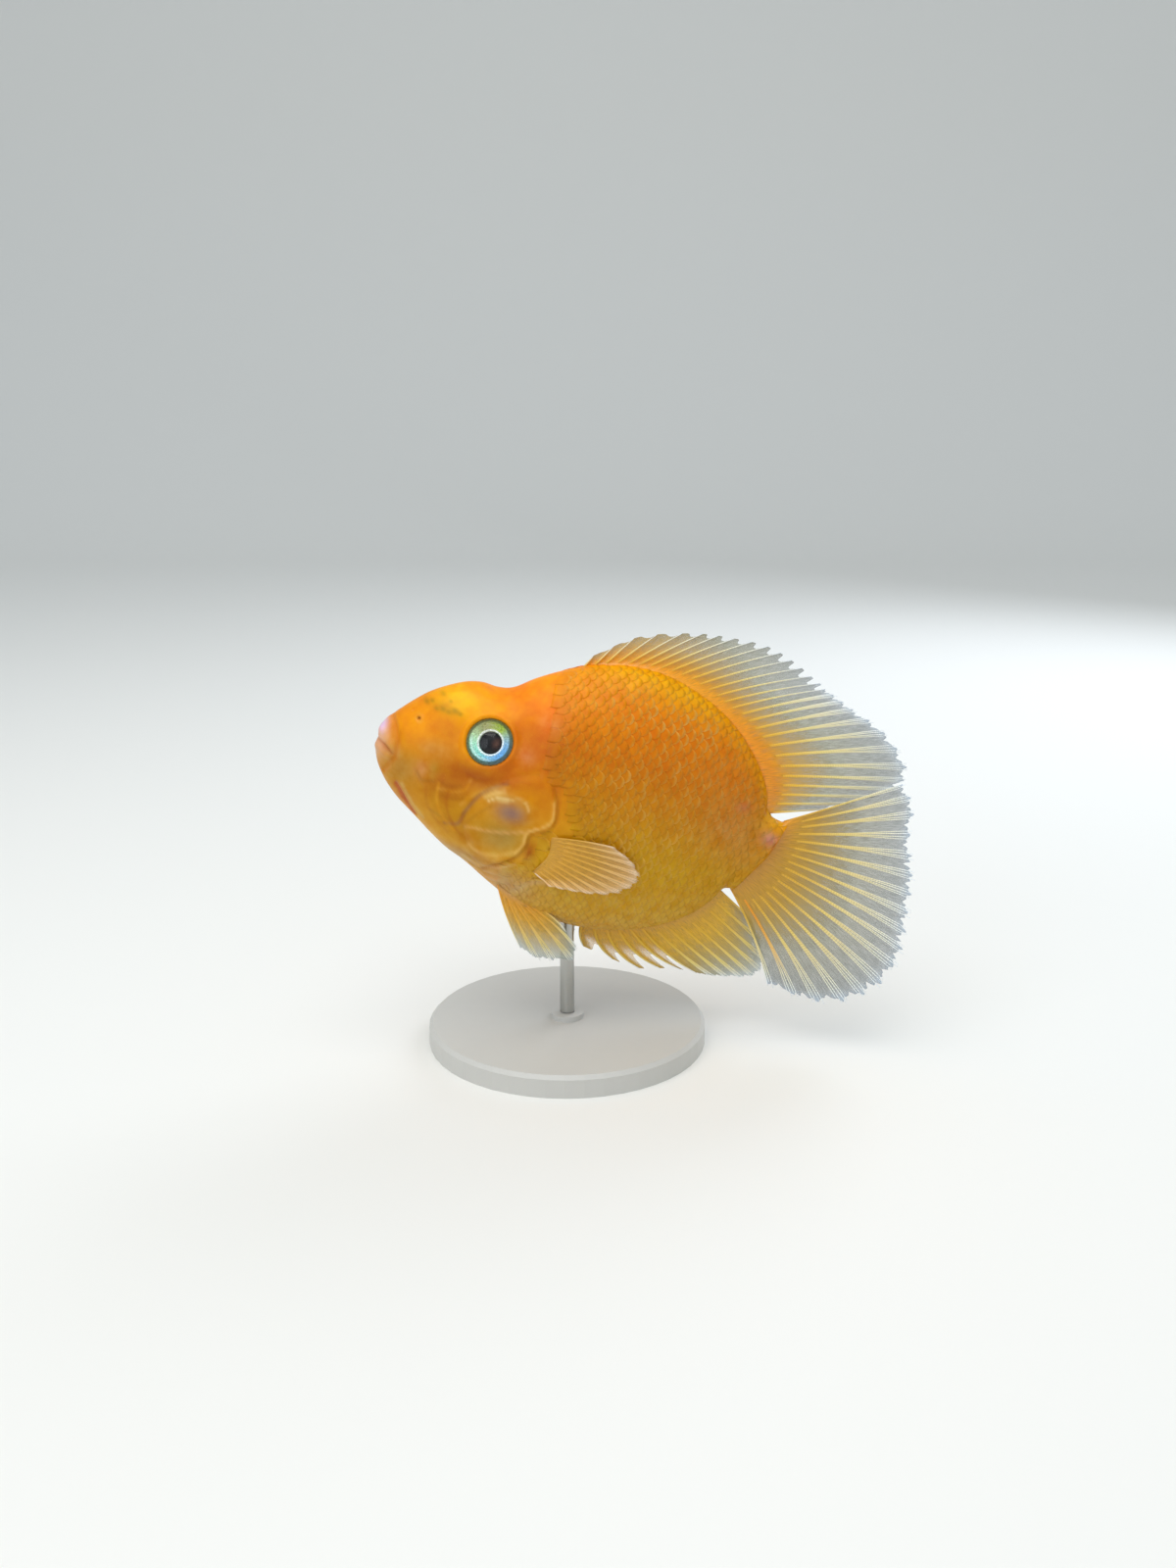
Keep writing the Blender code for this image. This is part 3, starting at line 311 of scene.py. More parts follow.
# Ridges and grooves of the face: places (a, h), half width, height above or depth below the form.
# The first three meet at the snout, where both sides' add up, so theirs is half of what shows.
UPPER_LIP = [(-0.4, 3.0), (0.9, 2.7), (2.2, 1.9), (3.6, 0.8), (4.7, -0.6)]
LOWER_LIP = [(-0.3, -1.6), (0.9, -1.8), (2.1, -2.1), (3.3, -2.5), (4.6, -2.5)]
MUZZLE_FOLD = [(1.9, 7.0), (3.6, 5.6), (5.0, 3.2), (5.6, 0.6), (5.5, -2.4), (3.6, -7.4)]
COVER_FRONT = [(27.1, -10.2), (28.2, -15.4), (30.9, -19.1), (34.7, -20.6), (38.6, -21.4)]
BREAST_FOLD = [(54.0, -21.0), (49.2, -22.6), (46.4, -25.4), (44.6, -28.2)]
FACE_LINES = (
    (UPPER_LIP, 1.2, 0.4),
    (LOWER_LIP, 1.05, 0.375),
    ([(-0.6, 0.6), (0.7, 0.3), (2.0, -0.2), (3.4, -0.9), (4.6, -1.5)], 0.42, -0.4),
    (MUZZLE_FOLD, 0.7, -0.32),
    ([(3.0, 8.2), (5.2, 6.4), (6.9, 3.4), (7.5, 0.2), (7.2, -3.2), (6.2, -6.4)], 1.5, 0.22),
    ([(7.8, -9.2), (9.8, -11.2), (12.2, -13.8), (15.0, -16.4)], 0.6, -0.4),
    ([(11.6, -3.4), (12.8, -5.2), (14.6, -6.6)], 0.5, -0.25),
    ([(42.5, 6.8), (38.0, 4.6), (34.2, 2.0), (31.2, -1.4), (28.7, -5.5), (27.1, -10.2)], 0.7, -0.34),
    (COVER_FRONT, 0.7, -0.2),
    ([(29.8, -14.4), (32.6, -17.8), (37.0, -18.6), (41.6, -16.8)], 0.8, 0.18),
    ([(31.6, -2.8), (35.4, -1.0), (39.8, -0.6), (43.5, -1.4)], 1.0, 0.35),
    ([(28.4, -13.1), (34.0, -12.0), (38.8, -10.7), (43.1, -8.9)], 0.7, 0.28),
    ([(31.0, -21.6), (35.2, -23.0), (39.6, -22.8)], 0.45, -0.35),
    ([(32.0, -24.0), (36.6, -25.4), (41.4, -24.6)], 0.45, -0.35),
    ([(34.0, -26.4), (38.6, -27.6), (43.6, -26.4)], 0.45, -0.3),
    (BREAST_FOLD, 0.6, -0.45),
    ([(22.4, 1.6), (27.0, -0.2), (32.0, 1.6), (35.6, 5.6)], 0.8, -0.3),
    ([(14.0, 9.0), (18.0, 8.0), (21.0, 8.6)], 1.0, -0.2),
    ([(50.2, -8.6), (50.8, -13.0), (48.6, -19.0)], 1.3, 0.55),
)
# Broad forms: place, reach along a and h, height.
FACE_FORMS = (
    ((19.0, -7.5), (7.5, 6.0), 0.9),
    ((38.0, -8.0), (6.5, 7.0), 0.6),
    ((11.0, 3.5), (5.0, 4.0), 0.5),
    ((24.5, -1.2), (7.0, 2.2), -0.5),
    ((26.0, 18.6), (6.0, 2.4), 0.7),
    ((15.5, 14.0), (5.0, 3.0), 0.3),
    ((37.0, 14.0), (5.0, 6.0), -0.3),
    ((44.0, 20.0), (6.0, 6.0), 0.4),
)
GILL_EDGE = (
    (41.4, 6.2), (45.8, 4.8), (48.6, 1.0), (49.6, -4.6), (47.8, -7.3), (44.6, -9.2),
    (44.4, -12.5), (43.1, -16.0), (39.6, -19.8), (35.0, -24.0), (31.0, -28.5),
)
NAPE_EDGE = np.array([(34.0, 34.0), (36.0, 22.0), (38.0, 12.0)])
GILL_RISE, GILL_SLIT = 0.45, 0.32  # height of the cover's edge, depth of the slit behind it
gill_line = curve_through(GILL_EDGE, np.linspace(0, 1, 60))
NOSTRIL = (8.9, 9.6)
NOSTRIL_HOLE, NOSTRIL_DEEP = 0.45, 0.8
NOSTRIL_RIM, RIM_WIDE, RIM_HIGH = 0.85, 0.35, 0.2  # radius, half width and height of the raised rim
PORE = (6.6, 10.9)
PORE_HOLE, PORE_DEEP = 0.35, 0.25
EYE_A, EYE_H = 28.1, 10.2
EYE_LOOK = unit(np.array([-0.20, -0.92, 0.34]))
FACE_LONG = 62
ORBIT = 6.9
ORBIT_DRAW = 3.6
LID_HIGH, LID_WIDE = 0.62, 0.75
CUP_DEEP = 5.6


def behind_gills(a, h):
    """How far a place lies behind the rear edge of the gill cover, and above it behind the nape's
    line, in millimetres along the body."""
    edge = np.vstack([NAPE_EDGE, gill_line])
    return a - np.interp(h, edge[::-1, 1], edge[::-1, 0])


def relief(points):
    """Height of the skin over the bare form: rounded ridges and grooves that fall off as a bell
    with the distance from their line, broad bells, and the gill cover, which rises slowly to its
    edge and ends in a step and a slit."""
    total = np.zeros(points.shape[:-1])
    near = points[..., 0] < FACE_LONG
    chosen = points[near]
    part = np.zeros(len(chosen))
    for side in (-1, 1):
        for line, width, height in FACE_LINES:
            part += height * bell(distance_to(chosen, line_on_flank(line, side)) / width)
        this_side = np.sign(chosen[:, 1] - sway(chosen[:, 0])) == side
        for (a0, h0), (ra, rh), height in FACE_FORMS:
            part += height * bell((chosen[:, 0] - a0) / ra, (chosen[:, 2] - h0) / rh) * this_side
        gap = np.linalg.norm(chosen - on_flank(*NOSTRIL, side), axis=-1)
        part += RIM_HIGH * bell((gap - NOSTRIL_RIM) / RIM_WIDE) - NOSTRIL_DEEP * bell(gap / NOSTRIL_HOLE)
        gap = np.linalg.norm(chosen - on_flank(*PORE, side), axis=-1)
        part -= PORE_DEEP * bell(gap / PORE_HOLE)
    total[near] = part
    a, h = points[..., 0], points[..., 2]
    near = (a > 18) & (a < 56) & (h < 9) & (h > -30)
    chosen = points[near]
    gap = np.min([distance_to(chosen, on_flank(*gill_line.T, side)) for side in (-1, 1)], axis=0)
    past = gap * np.sign(behind_gills(chosen[..., 0], chosen[..., 2]))
    level = ease((6.5 - chosen[..., 2]) / 3.0) * ease((chosen[..., 2] + 27.0) / 5.0)
    cover = GILL_RISE * np.exp(np.minimum(past + 0.3, 0) / 6.0) * (1 - ease((past + 0.4) / 0.8))
    total[near] += level * (cover - GILL_SLIT * bell((past - 0.6) / 0.45))
    return total


def eye_axes(side):
    """Centre of the eye's rim on the skin, and its axes: tailwards, upwards and outwards."""
    look = EYE_LOOK * (1, -side, 1)
    up = unit(np.array([0.0, 0.0, 1.0]) - look[2] * look)
    return on_flank(EYE_A, EYE_H, side), np.cross(up, look) * -side, up, look


def set_orbits(points):
    """Round each eye the skin is drawn to the plane of the rim, raised into a ring like a lid round
    the eye's axis, and rolled inwards to a cup behind the eye."""
    made = points.copy()
    for side in (-1, 1):
        centre, _, _, look = eye_axes(side)
        offset = made - centre
        out = offset @ look
        radius = np.linalg.norm(offset - out[..., None] * look, axis=-1)
        here = (radius < 11) & (out > -7) & (np.sign(made[..., 1]) == side)
        draw = 1 - ease((radius - ORBIT) / ORBIT_DRAW)
        ring = LID_HIGH * bell((radius - ORBIT) / LID_WIDE)
        cup = -CUP_DEEP * ease((ORBIT - 0.6 - radius) / 1.6)
        target = out + (0.05 - out) * draw + ring + cup
        made = np.where(here[..., None], made + (target - out)[..., None] * look, made)
    return made


def outward(grid):
    """Unit normals of a grid of points by differences between neighbours, turned outwards: the
    second index runs round the body."""
    along = np.gradient(grid, axis=0)
    wrapped = np.concatenate([grid[:, -1:], grid, grid[:, :1]], axis=1)
    around = (wrapped[:, 2:] - wrapped[:, :-2]) / 2
    return unit(np.cross(around, along))


# Markings: place (a, h), reach along a and h, colour, strength. They are painted in this order over a
# ground that runs from ochre on the belly to orange on the back. The ground is partly painted light: it is
# brighter towards the back, as if lit from above.
GROUND = (
    (-36, "#D6A04C"), (-24, "#D29C3A"), (-10, "#CC8F1E"), (4, "#CC7E08"),
    (17, "#D67004"), (28, "#F07C00"), (38, "#FF9600"),
)
# A band of painted light along the back's edge, which brightens the shade where the body curves away below
# the dorsal fin.
BACK_PAINTED_LIGHT = ("#FFAC10", 0.6, 4.0)  # colour, strength, and depth in mm below the back's edge
MARKINGS = (
    ((40.0, 28.0), (12.0, 7.0), "#FF9600", 0.7),
    ((8.0, 9.0), (8.0, 7.0), "#EA9000", 0.85),
    ((19.0, 17.2), (8.5, 4.0), "#FFBA00", 0.95),
    ((27.5, 18.5), (6.0, 3.0), "#FB9A00", 0.7),
    ((23.0, 10.0), (3.0, 6.0), "#F09A00", 0.6),
    ((17.0, 4.0), (5.0, 3.0), "#CC8A3C", 0.6),
    ((7.0, 2.0), (3.5, 3.0), "#DE8806", 0.7),
    ((7.5, -4.5), (5.5, 5.5), "#AE8240", 0.8),
    ((20.0, -5.0), (7.5, 4.8), "#A0560C", 0.75),
    ((16.5, -1.3), (1.5, 2.2), "#A68838", 0.45),
    ((13.2, -2.2), (1.8, 2.4), "#D0946C", 0.4),
    ((13.8, 3.6), (3.0, 1.6), "#C89458", 0.35),
    ((5.4, -0.6), (1.6, 2.2), "#B4925C", 0.35),
    ((27.0, 0.6), (8.5, 2.6), "#A24604", 0.8),
    ((34.0, 4.6), (4.0, 3.2), "#B85204", 0.75),
    ((40.5, 12.2), (8.0, 5.5), "#C05E04", 0.75),
    ((43.5, 23.0), (5.0, 5.0), "#F07830", 0.45),
    ((36.5, 11.0), (2.0, 4.0), "#D67A2A", 0.4),
    ((44.0, 5.0), (7.0, 4.0), "#C46C08", 0.65),
    ((25.0, -12.6), (8.0, 4.5), "#B87C0C", 0.75),
    ((31.0, -16.6), (6.0, 3.0), "#AA6A1C", 0.5),
    ((38.0, -11.6), (6.0, 3.4), "#94763A", 0.7),
    # Painted highlight on the gill cover.
    ((34.2, -2.2), (3.6, 1.8), "#E0B868", 0.55),
    ((38.4, -5.3), (4.2, 2.7), "#846862", 0.88),
    ((41.8, 19.5), (3.4, 2.6), "#E48C5C", 0.45),
    ((38.1, 9.7), (2.6, 2.2), "#D0845C", 0.45),
    ((37.6, -14.6), (4.5, 2.4), "#A88C4C", 0.45),
    ((46.4, -1.0), (2.5, 5.0), "#C87A18", 0.6),
    ((42.5, -26.0), (8.0, 4.5), "#C49668", 0.8),
    ((30.0, -22.4), (9.0, 2.6), "#A4865A", 0.7),
    # Painted shade in the gill slit, behind the lower rear edge of the gill cover.
    ((46.0, -14.4), (1.2, 3.0), "#96440F", 0.75),
    ((49.4, -8.6), (1.4, 1.8), "#9C5C0E", 0.4),
    ((51.2, -14.0), (2.4, 5.5), "#DCA424", 0.7),
    ((0.4, 0.6), (2.6, 6.0), "#DCAE8C", 0.8),
    # Painted highlight: a lilac reflection on the tip of the upper lip.
    ((0.0, 4.4), (1.3, 2.0), "#E2C2DE", 0.9),
    # Painted shade in the slit between the lips.
    ((3.4, -0.9), (1.6, 0.7), "#B86C48", 0.4),
    ((10.2, -11.8), (3.4, 2.6), "#B05A34", 0.35),
    ((80.0, -8.0), (16.0, 8.0), "#CC960A", 0.6),
    ((88.0, 20.0), (9.0, 7.0), "#E08230", 0.45),
    ((101.0, 1.0), (5.0, 8.0), "#CE8C40", 0.55),
    ((94.0, 6.0), (8.0, 8.0), "#CC8450", 0.45),
    ((75.0, 36.5), (12.0, 4.0), "#FFB428", 0.6),
    ((105.0, 9.0), (3.5, 3.0), "#F0AC40", 0.6),
    ((106.5, 4.6), (2.2, 2.0), "#C07A88", 0.6),
    ((96.5, 11.6), (1.9, 1.5), "#C88070", 0.4),
    ((9.6, 13.9), (0.9, 0.6), "#6E5A18", 0.5),
    ((10.9, 14.6), (0.7, 0.5), "#6A5818", 0.45),
    ((12.6, 13.4), (0.8, 0.5), "#75611C", 0.45),
    ((14.2, 13.9), (0.9, 0.6), "#6E5C18", 0.5),
    ((15.9, 13.7), (0.8, 0.5), "#6C5A1A", 0.45),
    ((17.4, 14.5), (1.1, 0.7), "#6A5A1C", 0.55),
    ((18.9, 14.2), (0.7, 0.5), "#7A6620", 0.5),
    ((13.1, 17.0), (1.0, 0.6), "#7C6A24", 0.4),
    ((14.6, 14.4), (3.6, 1.5), "#B08C1C", 0.4),
    ((15.6, 16.2), (0.6, 0.4), "#7C6A24", 0.4),
    (NOSTRIL, (1.1, 1.1), "#F0BC6A", 0.4),
    # Painted shade in the nostril's hole.
    (NOSTRIL, (0.45, 0.4), "#5A2C08", 0.75),
)

# Coloured lines of the face: places (a, h), half width, colour, strength.
LINE_MARKINGS = (
    # Painted shade along the slit between the lips.
    ([(-0.6, 0.6), (0.7, 0.3), (2.0, -0.2), (3.4, -0.9), (4.6, -1.6)], 0.5, "#A05220", 0.4),
    # Painted shade in the crease of the muzzle fold, behind the lips.
    (MUZZLE_FOLD, 0.9, "#C8640C", 0.35),
    ([(7.8, -9.2), (9.8, -11.2), (12.2, -13.8), (14.4, -15.9)], 0.8, "#B25C44", 0.75),
    ([(9.4, -8.6), (11.4, -10.8), (13.8, -13.2), (17.0, -15.8)], 0.6, "#C4A868", 0.5),
    ([(22.8, -14.5), (26.2, -13.2), (27.2, -9.0), (30.0, -2.8), (35.4, 1.8)], 0.6, "#8E6048", 0.6),
    ([(27.8, -13.4), (29.7, -9.5), (31.8, -6.7), (33.1, -5.1)], 0.4, "#A0661C", 0.35),
    # These four lines are pale streaks of painted highlight on the folds of the gill cover.
    ([(31.0, -3.4), (32.8, -1.8), (35.2, -0.4)], 0.7, "#E8CC80", 0.4),
    ([(31.9, -4.2), (34.4, -2.4), (36.9, -2.1)], 0.3, "#F0D898", 0.5),
    ([(34.2, -2.9), (36.7, -2.6), (38.8, -1.2), (41.1, -1.3), (42.5, -2.9)], 0.4, "#E8C880", 0.45),
    ([(28.4, -13.1), (34.0, -12.0), (38.8, -10.7), (43.1, -8.9), (46.0, -7.2)], 0.5, "#DCA868", 0.45),
    ([(12.4, -3.5), (14.2, -5.0), (17.1, -4.1)], 0.45, "#94622A", 0.4),
    ([(18.8, -5.4), (22.4, -5.1), (25.4, -3.6), (26.3, -0.7)], 0.5, "#D8A04C", 0.4),
    ([(18.4, -3.8), (21.6, -3.9), (24.2, -2.9)], 0.4, "#96540E", 0.35),
    ([(20.0, -7.2), (23.4, -7.0), (25.6, -5.8)], 0.4, "#9E5E10", 0.35),
    ([(18.5, -12.3), (21.2, -12.9), (24.7, -13.1)], 0.5, "#A06A24", 0.35),
    (COVER_FRONT, 0.8, "#A8661C", 0.25),
    # Painted highlight on a fold of the gill cover.
    ([(30.4, -18.2), (33.6, -19.2), (38.0, -18.2), (41.6, -15.8)], 0.7, "#E0B464", 0.4),
    ([(25.6, -7.6), (28.0, -4.0), (31.6, -1.0), (36.0, 1.2)], 0.5, "#DCA850", 0.35),
    ([(15.6, -6.4), (16.8, -10.4), (19.8, -14.0), (24.2, -17.0)], 0.5, "#A85A14", 0.3),
    ([(18.6, -4.2), (19.2, -8.6), (21.6, -12.6), (25.6, -15.6)], 0.5, "#E0A02C", 0.3),
    ([(21.6, -5.6), (22.2, -9.6), (24.6, -13.4), (27.6, -16.2)], 0.5, "#A65610", 0.35),
    ([(13.4, -1.0), (16.4, -2.2), (20.0, -2.2), (24.0, -0.8)], 0.6, "#B0600F", 0.3),
    # The next two lines are painted shade in the gill slit, behind the rear edge of the gill cover.
    ([(46.8, 4.4), (49.1, 1.0), (49.9, -4.6), (45.0, -9.5), (44.8, -12.5)], 0.6, "#A05610", 0.3),
    ([(44.8, -12.5), (43.4, -16.2), (40.0, -20.2), (35.4, -24.4)], 0.6, "#A05A18", 0.35),
    # Painted highlight along the raised rear edge of the gill cover.
    ([(48.2, 1.0), (48.9, -4.6), (44.0, -8.9), (43.8, -12.5), (42.4, -15.8)], 0.5, "#E8BC6C", 0.5),
    ([(28.0, -20.6), (33.0, -21.8), (38.4, -20.6), (42.6, -17.6)], 0.35, "#A8681E", 0.35),
    ([(29.6, -22.4), (34.6, -23.2), (39.6, -21.8), (43.4, -18.8)], 0.35, "#E0B884", 0.35),
    (BREAST_FOLD, 0.8, "#DCB47C", 0.6),
)


def tones(at, stops):
    """Colour between stops of (level, hex colour), in linear light."""
    values = np.array([linear(code) for _, code in stops])
    return np.stack([np.interp(at, [level for level, _ in stops], values[:, k]) for k in range(3)], -1)


def mix(colour, code, share):
    """Mixes a hex colour in, by its share at each point."""
    return colour + (linear(code) - colour) * np.asarray(share)[..., None]


def markings(points):
    """Colour of the skin at own-frame points: the ground by height, a band of painted light along the
    back's edge, then each marking mixed in by its strength times a bell of the distance from its place or
    line."""
    a, h = points[..., 0], points[..., 2]
    depth = np.interp(a, STATIONS[:, 0], STATIONS[:, 1]) - h
    code, strength, reach = BACK_PAINTED_LIGHT
    colour = mix(tones(h, GROUND), code, strength * bell(depth / reach) * ease((a - 44) / 12))
    for (a0, h0), (ra, rh), code, strength in MARKINGS:
        colour = mix(colour, code, strength * bell((a - a0) / ra, (h - h0) / rh))
    face = a < 58
    flat = np.stack([a[face], h[face]], -1)
    for line, width, code, strength in LINE_MARKINGS:
        gap = distance_to(flat, curve_through(line, np.linspace(0, 1, 20)))
        colour[face] = mix(colour[face], code, strength * bell(gap / width))
    return colour


def paint(piece, name, values):
    """Stores a colour at each vertex of a piece, for its material to read."""
    layer = piece.data.attributes.new(name, "FLOAT_COLOR", "POINT")
    rgba = np.concatenate([values, np.ones((len(values), 1))], axis=1)
    layer.data.foreach_set("color", rgba.astype(np.float32).ravel())


# Rings stand 0.24 mm apart on the head and 0.55 mm on the trunk, measured where they lie widest.
HEAD_LONG = 52
HEAD_RINGS, TRUNK_RINGS = 0.24, 0.55
AROUND = 226
fine = np.linspace(0, 1, 3000)
lines = body_point(fine[:, None], np.array([0.0, 0.8, 1.6, 2.4, 3.1]))
steps = np.linalg.norm(np.diff(lines, axis=0), axis=-1).max(axis=1)
spacing = np.where(body_point(fine[1:], 1.57)[:, 0] < HEAD_LONG, HEAD_RINGS, TRUNK_RINGS)
count = np.concatenate([[0], np.cumsum(steps / spacing)])
rings = np.interp(np.linspace(0, count[-1], int(count[-1])), count, fine)
phi = np.linspace(0, 2 * math.pi, AROUND, endpoint=False)
form = body_point(rings[:, None], phi[None, :])
normal = outward(form)
normal[0] = (-1.0, 0.0, 0.0)
skin_grid = form + normal * (relief(form) - COAT_DEPTH)[..., None]
skin_grid[0] = skin_grid[0].mean(axis=0)
skin_grid = set_orbits(skin_grid)

# Living skin, moist with slime: soft and a little see-through, with a low wet gloss. Its colour is
# broken by clouds of pigment 2.9 mm wide and grains 0.42 mm wide. The cells of pigment that make the
# grains, a tenth of a millimetre in life, are too fine to show.
CLOUD = 2.9
GRAIN = 0.42
skin_look, tree, shader = new_material(
    "moist_fish_skin",
    Roughness=0.4,
    Specular_IOR_Level=0.14,
    Coat_Weight=0.06,
    Coat_Roughness=0.16,
    Coat_IOR=1.34,
    Subsurface_Weight=0.22,
    Subsurface_Scale=0.0012,
    Subsurface_Radius=(1.0, 0.4, 0.12),
)
place = add_node(tree, "TexCoord")
own = add_node(tree, "Mapping", place.outputs["Object"], vector_type="TEXTURE")
set_node(own, Location=(SNOUT_X * MM, 0.0, SNOUT_Z * MM), Rotation=(0.0, NOSE_UP, 0.0), Scale=(MM, MM, MM))
paintwork = add_node(tree, "Attribute", attribute_name="Markings")
cloud = add_node(tree, "TexNoise", own, Scale=1 / CLOUD, Detail=5.0)
grain = add_node(tree, "TexNoise", own, Scale=1 / GRAIN, Detail=4.0)
patchy = add_node(tree, "MapRange", cloud, From_Min=0.32, From_Max=0.68)
base = add_node(tree, "MixRGB", patchy)
for hue, vivid, bright, target in ((0.495, 1.06, 1.02, "Color1"), (0.504, 1.01, 1.11, "Color2")):
    shift = add_node(tree, "HueSaturation", Color=paintwork, Hue=hue, Saturation=vivid, Value=bright)
    set_node(base, **{target: shift})
speck = add_node(tree, "MapRange", grain, From_Min=0.60, From_Max=0.80, To_Max=0.18)
speckled = add_node(tree, "MixRGB", speck, base, Color2=(*linear("#F8AC34"), 1.0))
sheen = add_node(tree, "MapRange", grain, To_Min=0.28, To_Max=0.46)
bump = add_node(tree, "Bump", Height=grain, Strength=0.25, Distance=0.00012)
set_node(shader, Base_Color=speckled, Roughness=sheen, Normal=bump)

# The sheet is closed by a fan of triangles to the middle of the lips, and by one to a point deep in
# the root of the tail fin.
TAIL_DEPTH = 2.5
lips = skin_grid[0, :1]
tail_end = skin_grid[-1].mean(axis=0, keepdims=True) + (TAIL_DEPTH, 0.0, 0.0)
points = np.concatenate([lips, skin_grid[1:].reshape(-1, 3), tail_end])
this = np.arange(AROUND)
following = (this + 1) % AROUND
last = 1 + (len(rings) - 2) * AROUND
none = np.full(AROUND, -1)
lips_fan = np.stack([0 * this, 1 + following, 1 + this, none], -1)
tail_fan = np.stack([last + this, last + following, none + len(points), none], -1)
faces = 1 + grid_faces(len(rings) - 1, AROUND, closed=True)
skin = new_piece("skin", in_row(points), np.concatenate([lips_fan, faces, tail_fan]), [skin_look])
paint(skin, "Markings", markings(points))
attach(skin, "root")
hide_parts("head", "trunk", "tail_base", "gill_cover_left", "gill_cover_right")

# Eyes: a silvery green-blue iris round a black pupil, out of which the lens bulges, under a clear
# domed cornea. The rim of the orbit lies over their edge. Profile: radius, height over the rim.
EYE_PROFILE = np.array(
    [
        (0.0, 0.95), (0.9, 0.86), (1.8, 0.55), (2.6, 0.12), (2.88, -0.10), (2.96, 0.50),
        (3.14, 0.70), (3.5, 0.72), (4.3, 0.60), (5.2, 0.36), (5.7, 0.20), (6.1, 0.02),
        (6.35, -0.3), (6.2, -1.8), (5.3, -3.3), (3.3, -4.5), (0.0, -4.9),
    ]
)
PUPIL = np.array([0.35, -0.15])
SPOKES = 120
EYE_RINGS = 110


def unwrap(piece, name, uv):
    """Stores a map position for each vertex of a piece, at all its corners."""
    layer = piece.data.uv_layers.new(name=name)
    corners = np.empty(len(piece.data.loops), np.int32)
    piece.data.loops.foreach_get("vertex_index", corners)
    layer.data.foreach_set("uv", uv[corners].astype(np.float32).ravel())


def lengths(points):
    """Length along a line of points up to each of them."""
    return np.concatenate([[0], np.cumsum(np.linalg.norm(np.diff(points, axis=0), axis=-1))])


def turned_rings(profile, shift):
    """Profile of (radius, height) turned about the third axis, with the middle moved by a share
    that falls off with the radius."""
    angle = np.linspace(0, 2 * math.pi, SPOKES, endpoint=False)
    radius, height = profile[:, 0][:, None], profile[:, 1][:, None]
    share = 1 - ease((radius - 3.0) / 2.6)
    x = radius * np.cos(angle) + shift[0] * share
    y = radius * np.sin(angle) + shift[1] * share
    return np.stack(np.broadcast_arrays(x, y, height), -1)


def closed_turning(rows):
    """Faces of a turned shape whose first and last rings are points."""
    quads = grid_faces(rows, SPOKES, closed=True)
    quads[:SPOKES, :2] = (0, -1)
    quads[-SPOKES:, 2] = -1
    quads[-SPOKES:, 3] = (rows - 1) * SPOKES
    return quads


def iris_colour(x, y):
    """Colour in the eye's plane: rings by the distance from the pupil's middle, and round them lime above,
    blue behind, mint below and pale olive before, by the cosine of the angle. These hues round the ring
    are partly the iris's own colour and partly painted reflection of its surroundings."""
    inner = np.hypot(x - PUPIL[0], y - PUPIL[1])
    outer = np.hypot(x, y)
    angle = np.arctan2(y, x)
    colour = np.tile(linear("#D2D8A4"), (*x.shape, 1))
    for facing, code, power in (
        (84, "#92B010", 1.3),
        (145, "#8E8A50", 1.3),
        (205, "#B8DCA8", 2.0),
        (-105, "#8CDCCC", 1.5),
        (-28, "#6AB0EC", 1.2),
    ):
        colour = mix(colour, code, np.clip(np.cos(angle - math.radians(facing)), 0, 1) ** power)
    low_front = ease((0.6 - y) / 1.5) * ease((2.5 - x) / 2)
    for code, share in (
        ("#FCFFFA", 0.95 * bell((inner - 3.22) / 0.22)),
        ("#E8FAF6", 0.5 * bell((outer - 4.7) / 0.25) * low_front),
        ("#424E2A", 0.85 * ease((outer - 5.0 + 0.1 * (x - y) / 6) / 0.35)),
        ("#8A6A2C", 0.75 * ease((outer - 5.8) / 0.25)),
        ("#05060B", ease((2.98 - inner) / 0.12)),
        # Painted highlight: a soft brown reflection on the lens, on the tailward side of the pupil.
        ("#6E4A3C", 0.6 * bell((x - 1.9) / 0.9, (y - 0.1) / 1.3) * (inner < 2.8)),
    ):
        colour = mix(colour, code, share)
    return colour


# The iris is skin plated with flat crystals, grown in flakes: it gleams in greens and blues that change
# round the ring, and its flecks are 0.4 mm wide. Part of that gleam is painted reflection, laid into its
# colour.
EYE_PLANE = 14.0
FLECK = 0.41
iris_look, tree, shader = new_material("iridescent_iris", Roughness=0.38, Specular_IOR_Level=0.15)
paintwork = add_node(tree, "Attribute", attribute_name="Iris")
plane = add_node(tree, "UVMap", uv_map="EyePlane")
fleck = add_node(tree, "TexNoise", plane, Scale=EYE_PLANE / FLECK, Detail=4.0)
shade = add_node(tree, "MapRange", fleck, From_Min=0.32, From_Max=0.68, To_Min=0.6, To_Max=1.35)
flecked = add_node(tree, "HueSaturation", Color=paintwork, Value=shade)
bump = add_node(tree, "Bump", Height=fleck, Strength=0.2, Distance=0.0001)
set_node(shader, Base_Color=flecked, Normal=bump)

# The cornea is clear living tissue, wet and perfectly smooth: the eye sees only its gloss, sharp in
# front and stronger where the dome turns away.
clear_look = bpy.data.materials.new("clear_cornea")
clear_look.use_nodes = True
tree = clear_look.node_tree
tree.nodes.clear()
gloss = add_node(tree, "BsdfGlossy", Roughness=0.03)
through = add_node(tree, "BsdfTransparent")
edge = add_node(tree, "Fresnel", IOR=1.38)
facing = add_node(tree, "NewGeometry")
front = add_node(tree, "Math", edge, facing.outputs["Backfacing"], operation="SUBTRACT", use_clamp=True)
blend = add_node(tree, "MixShader", front, through, gloss)
add_node(tree, "OutputMaterial", blend)

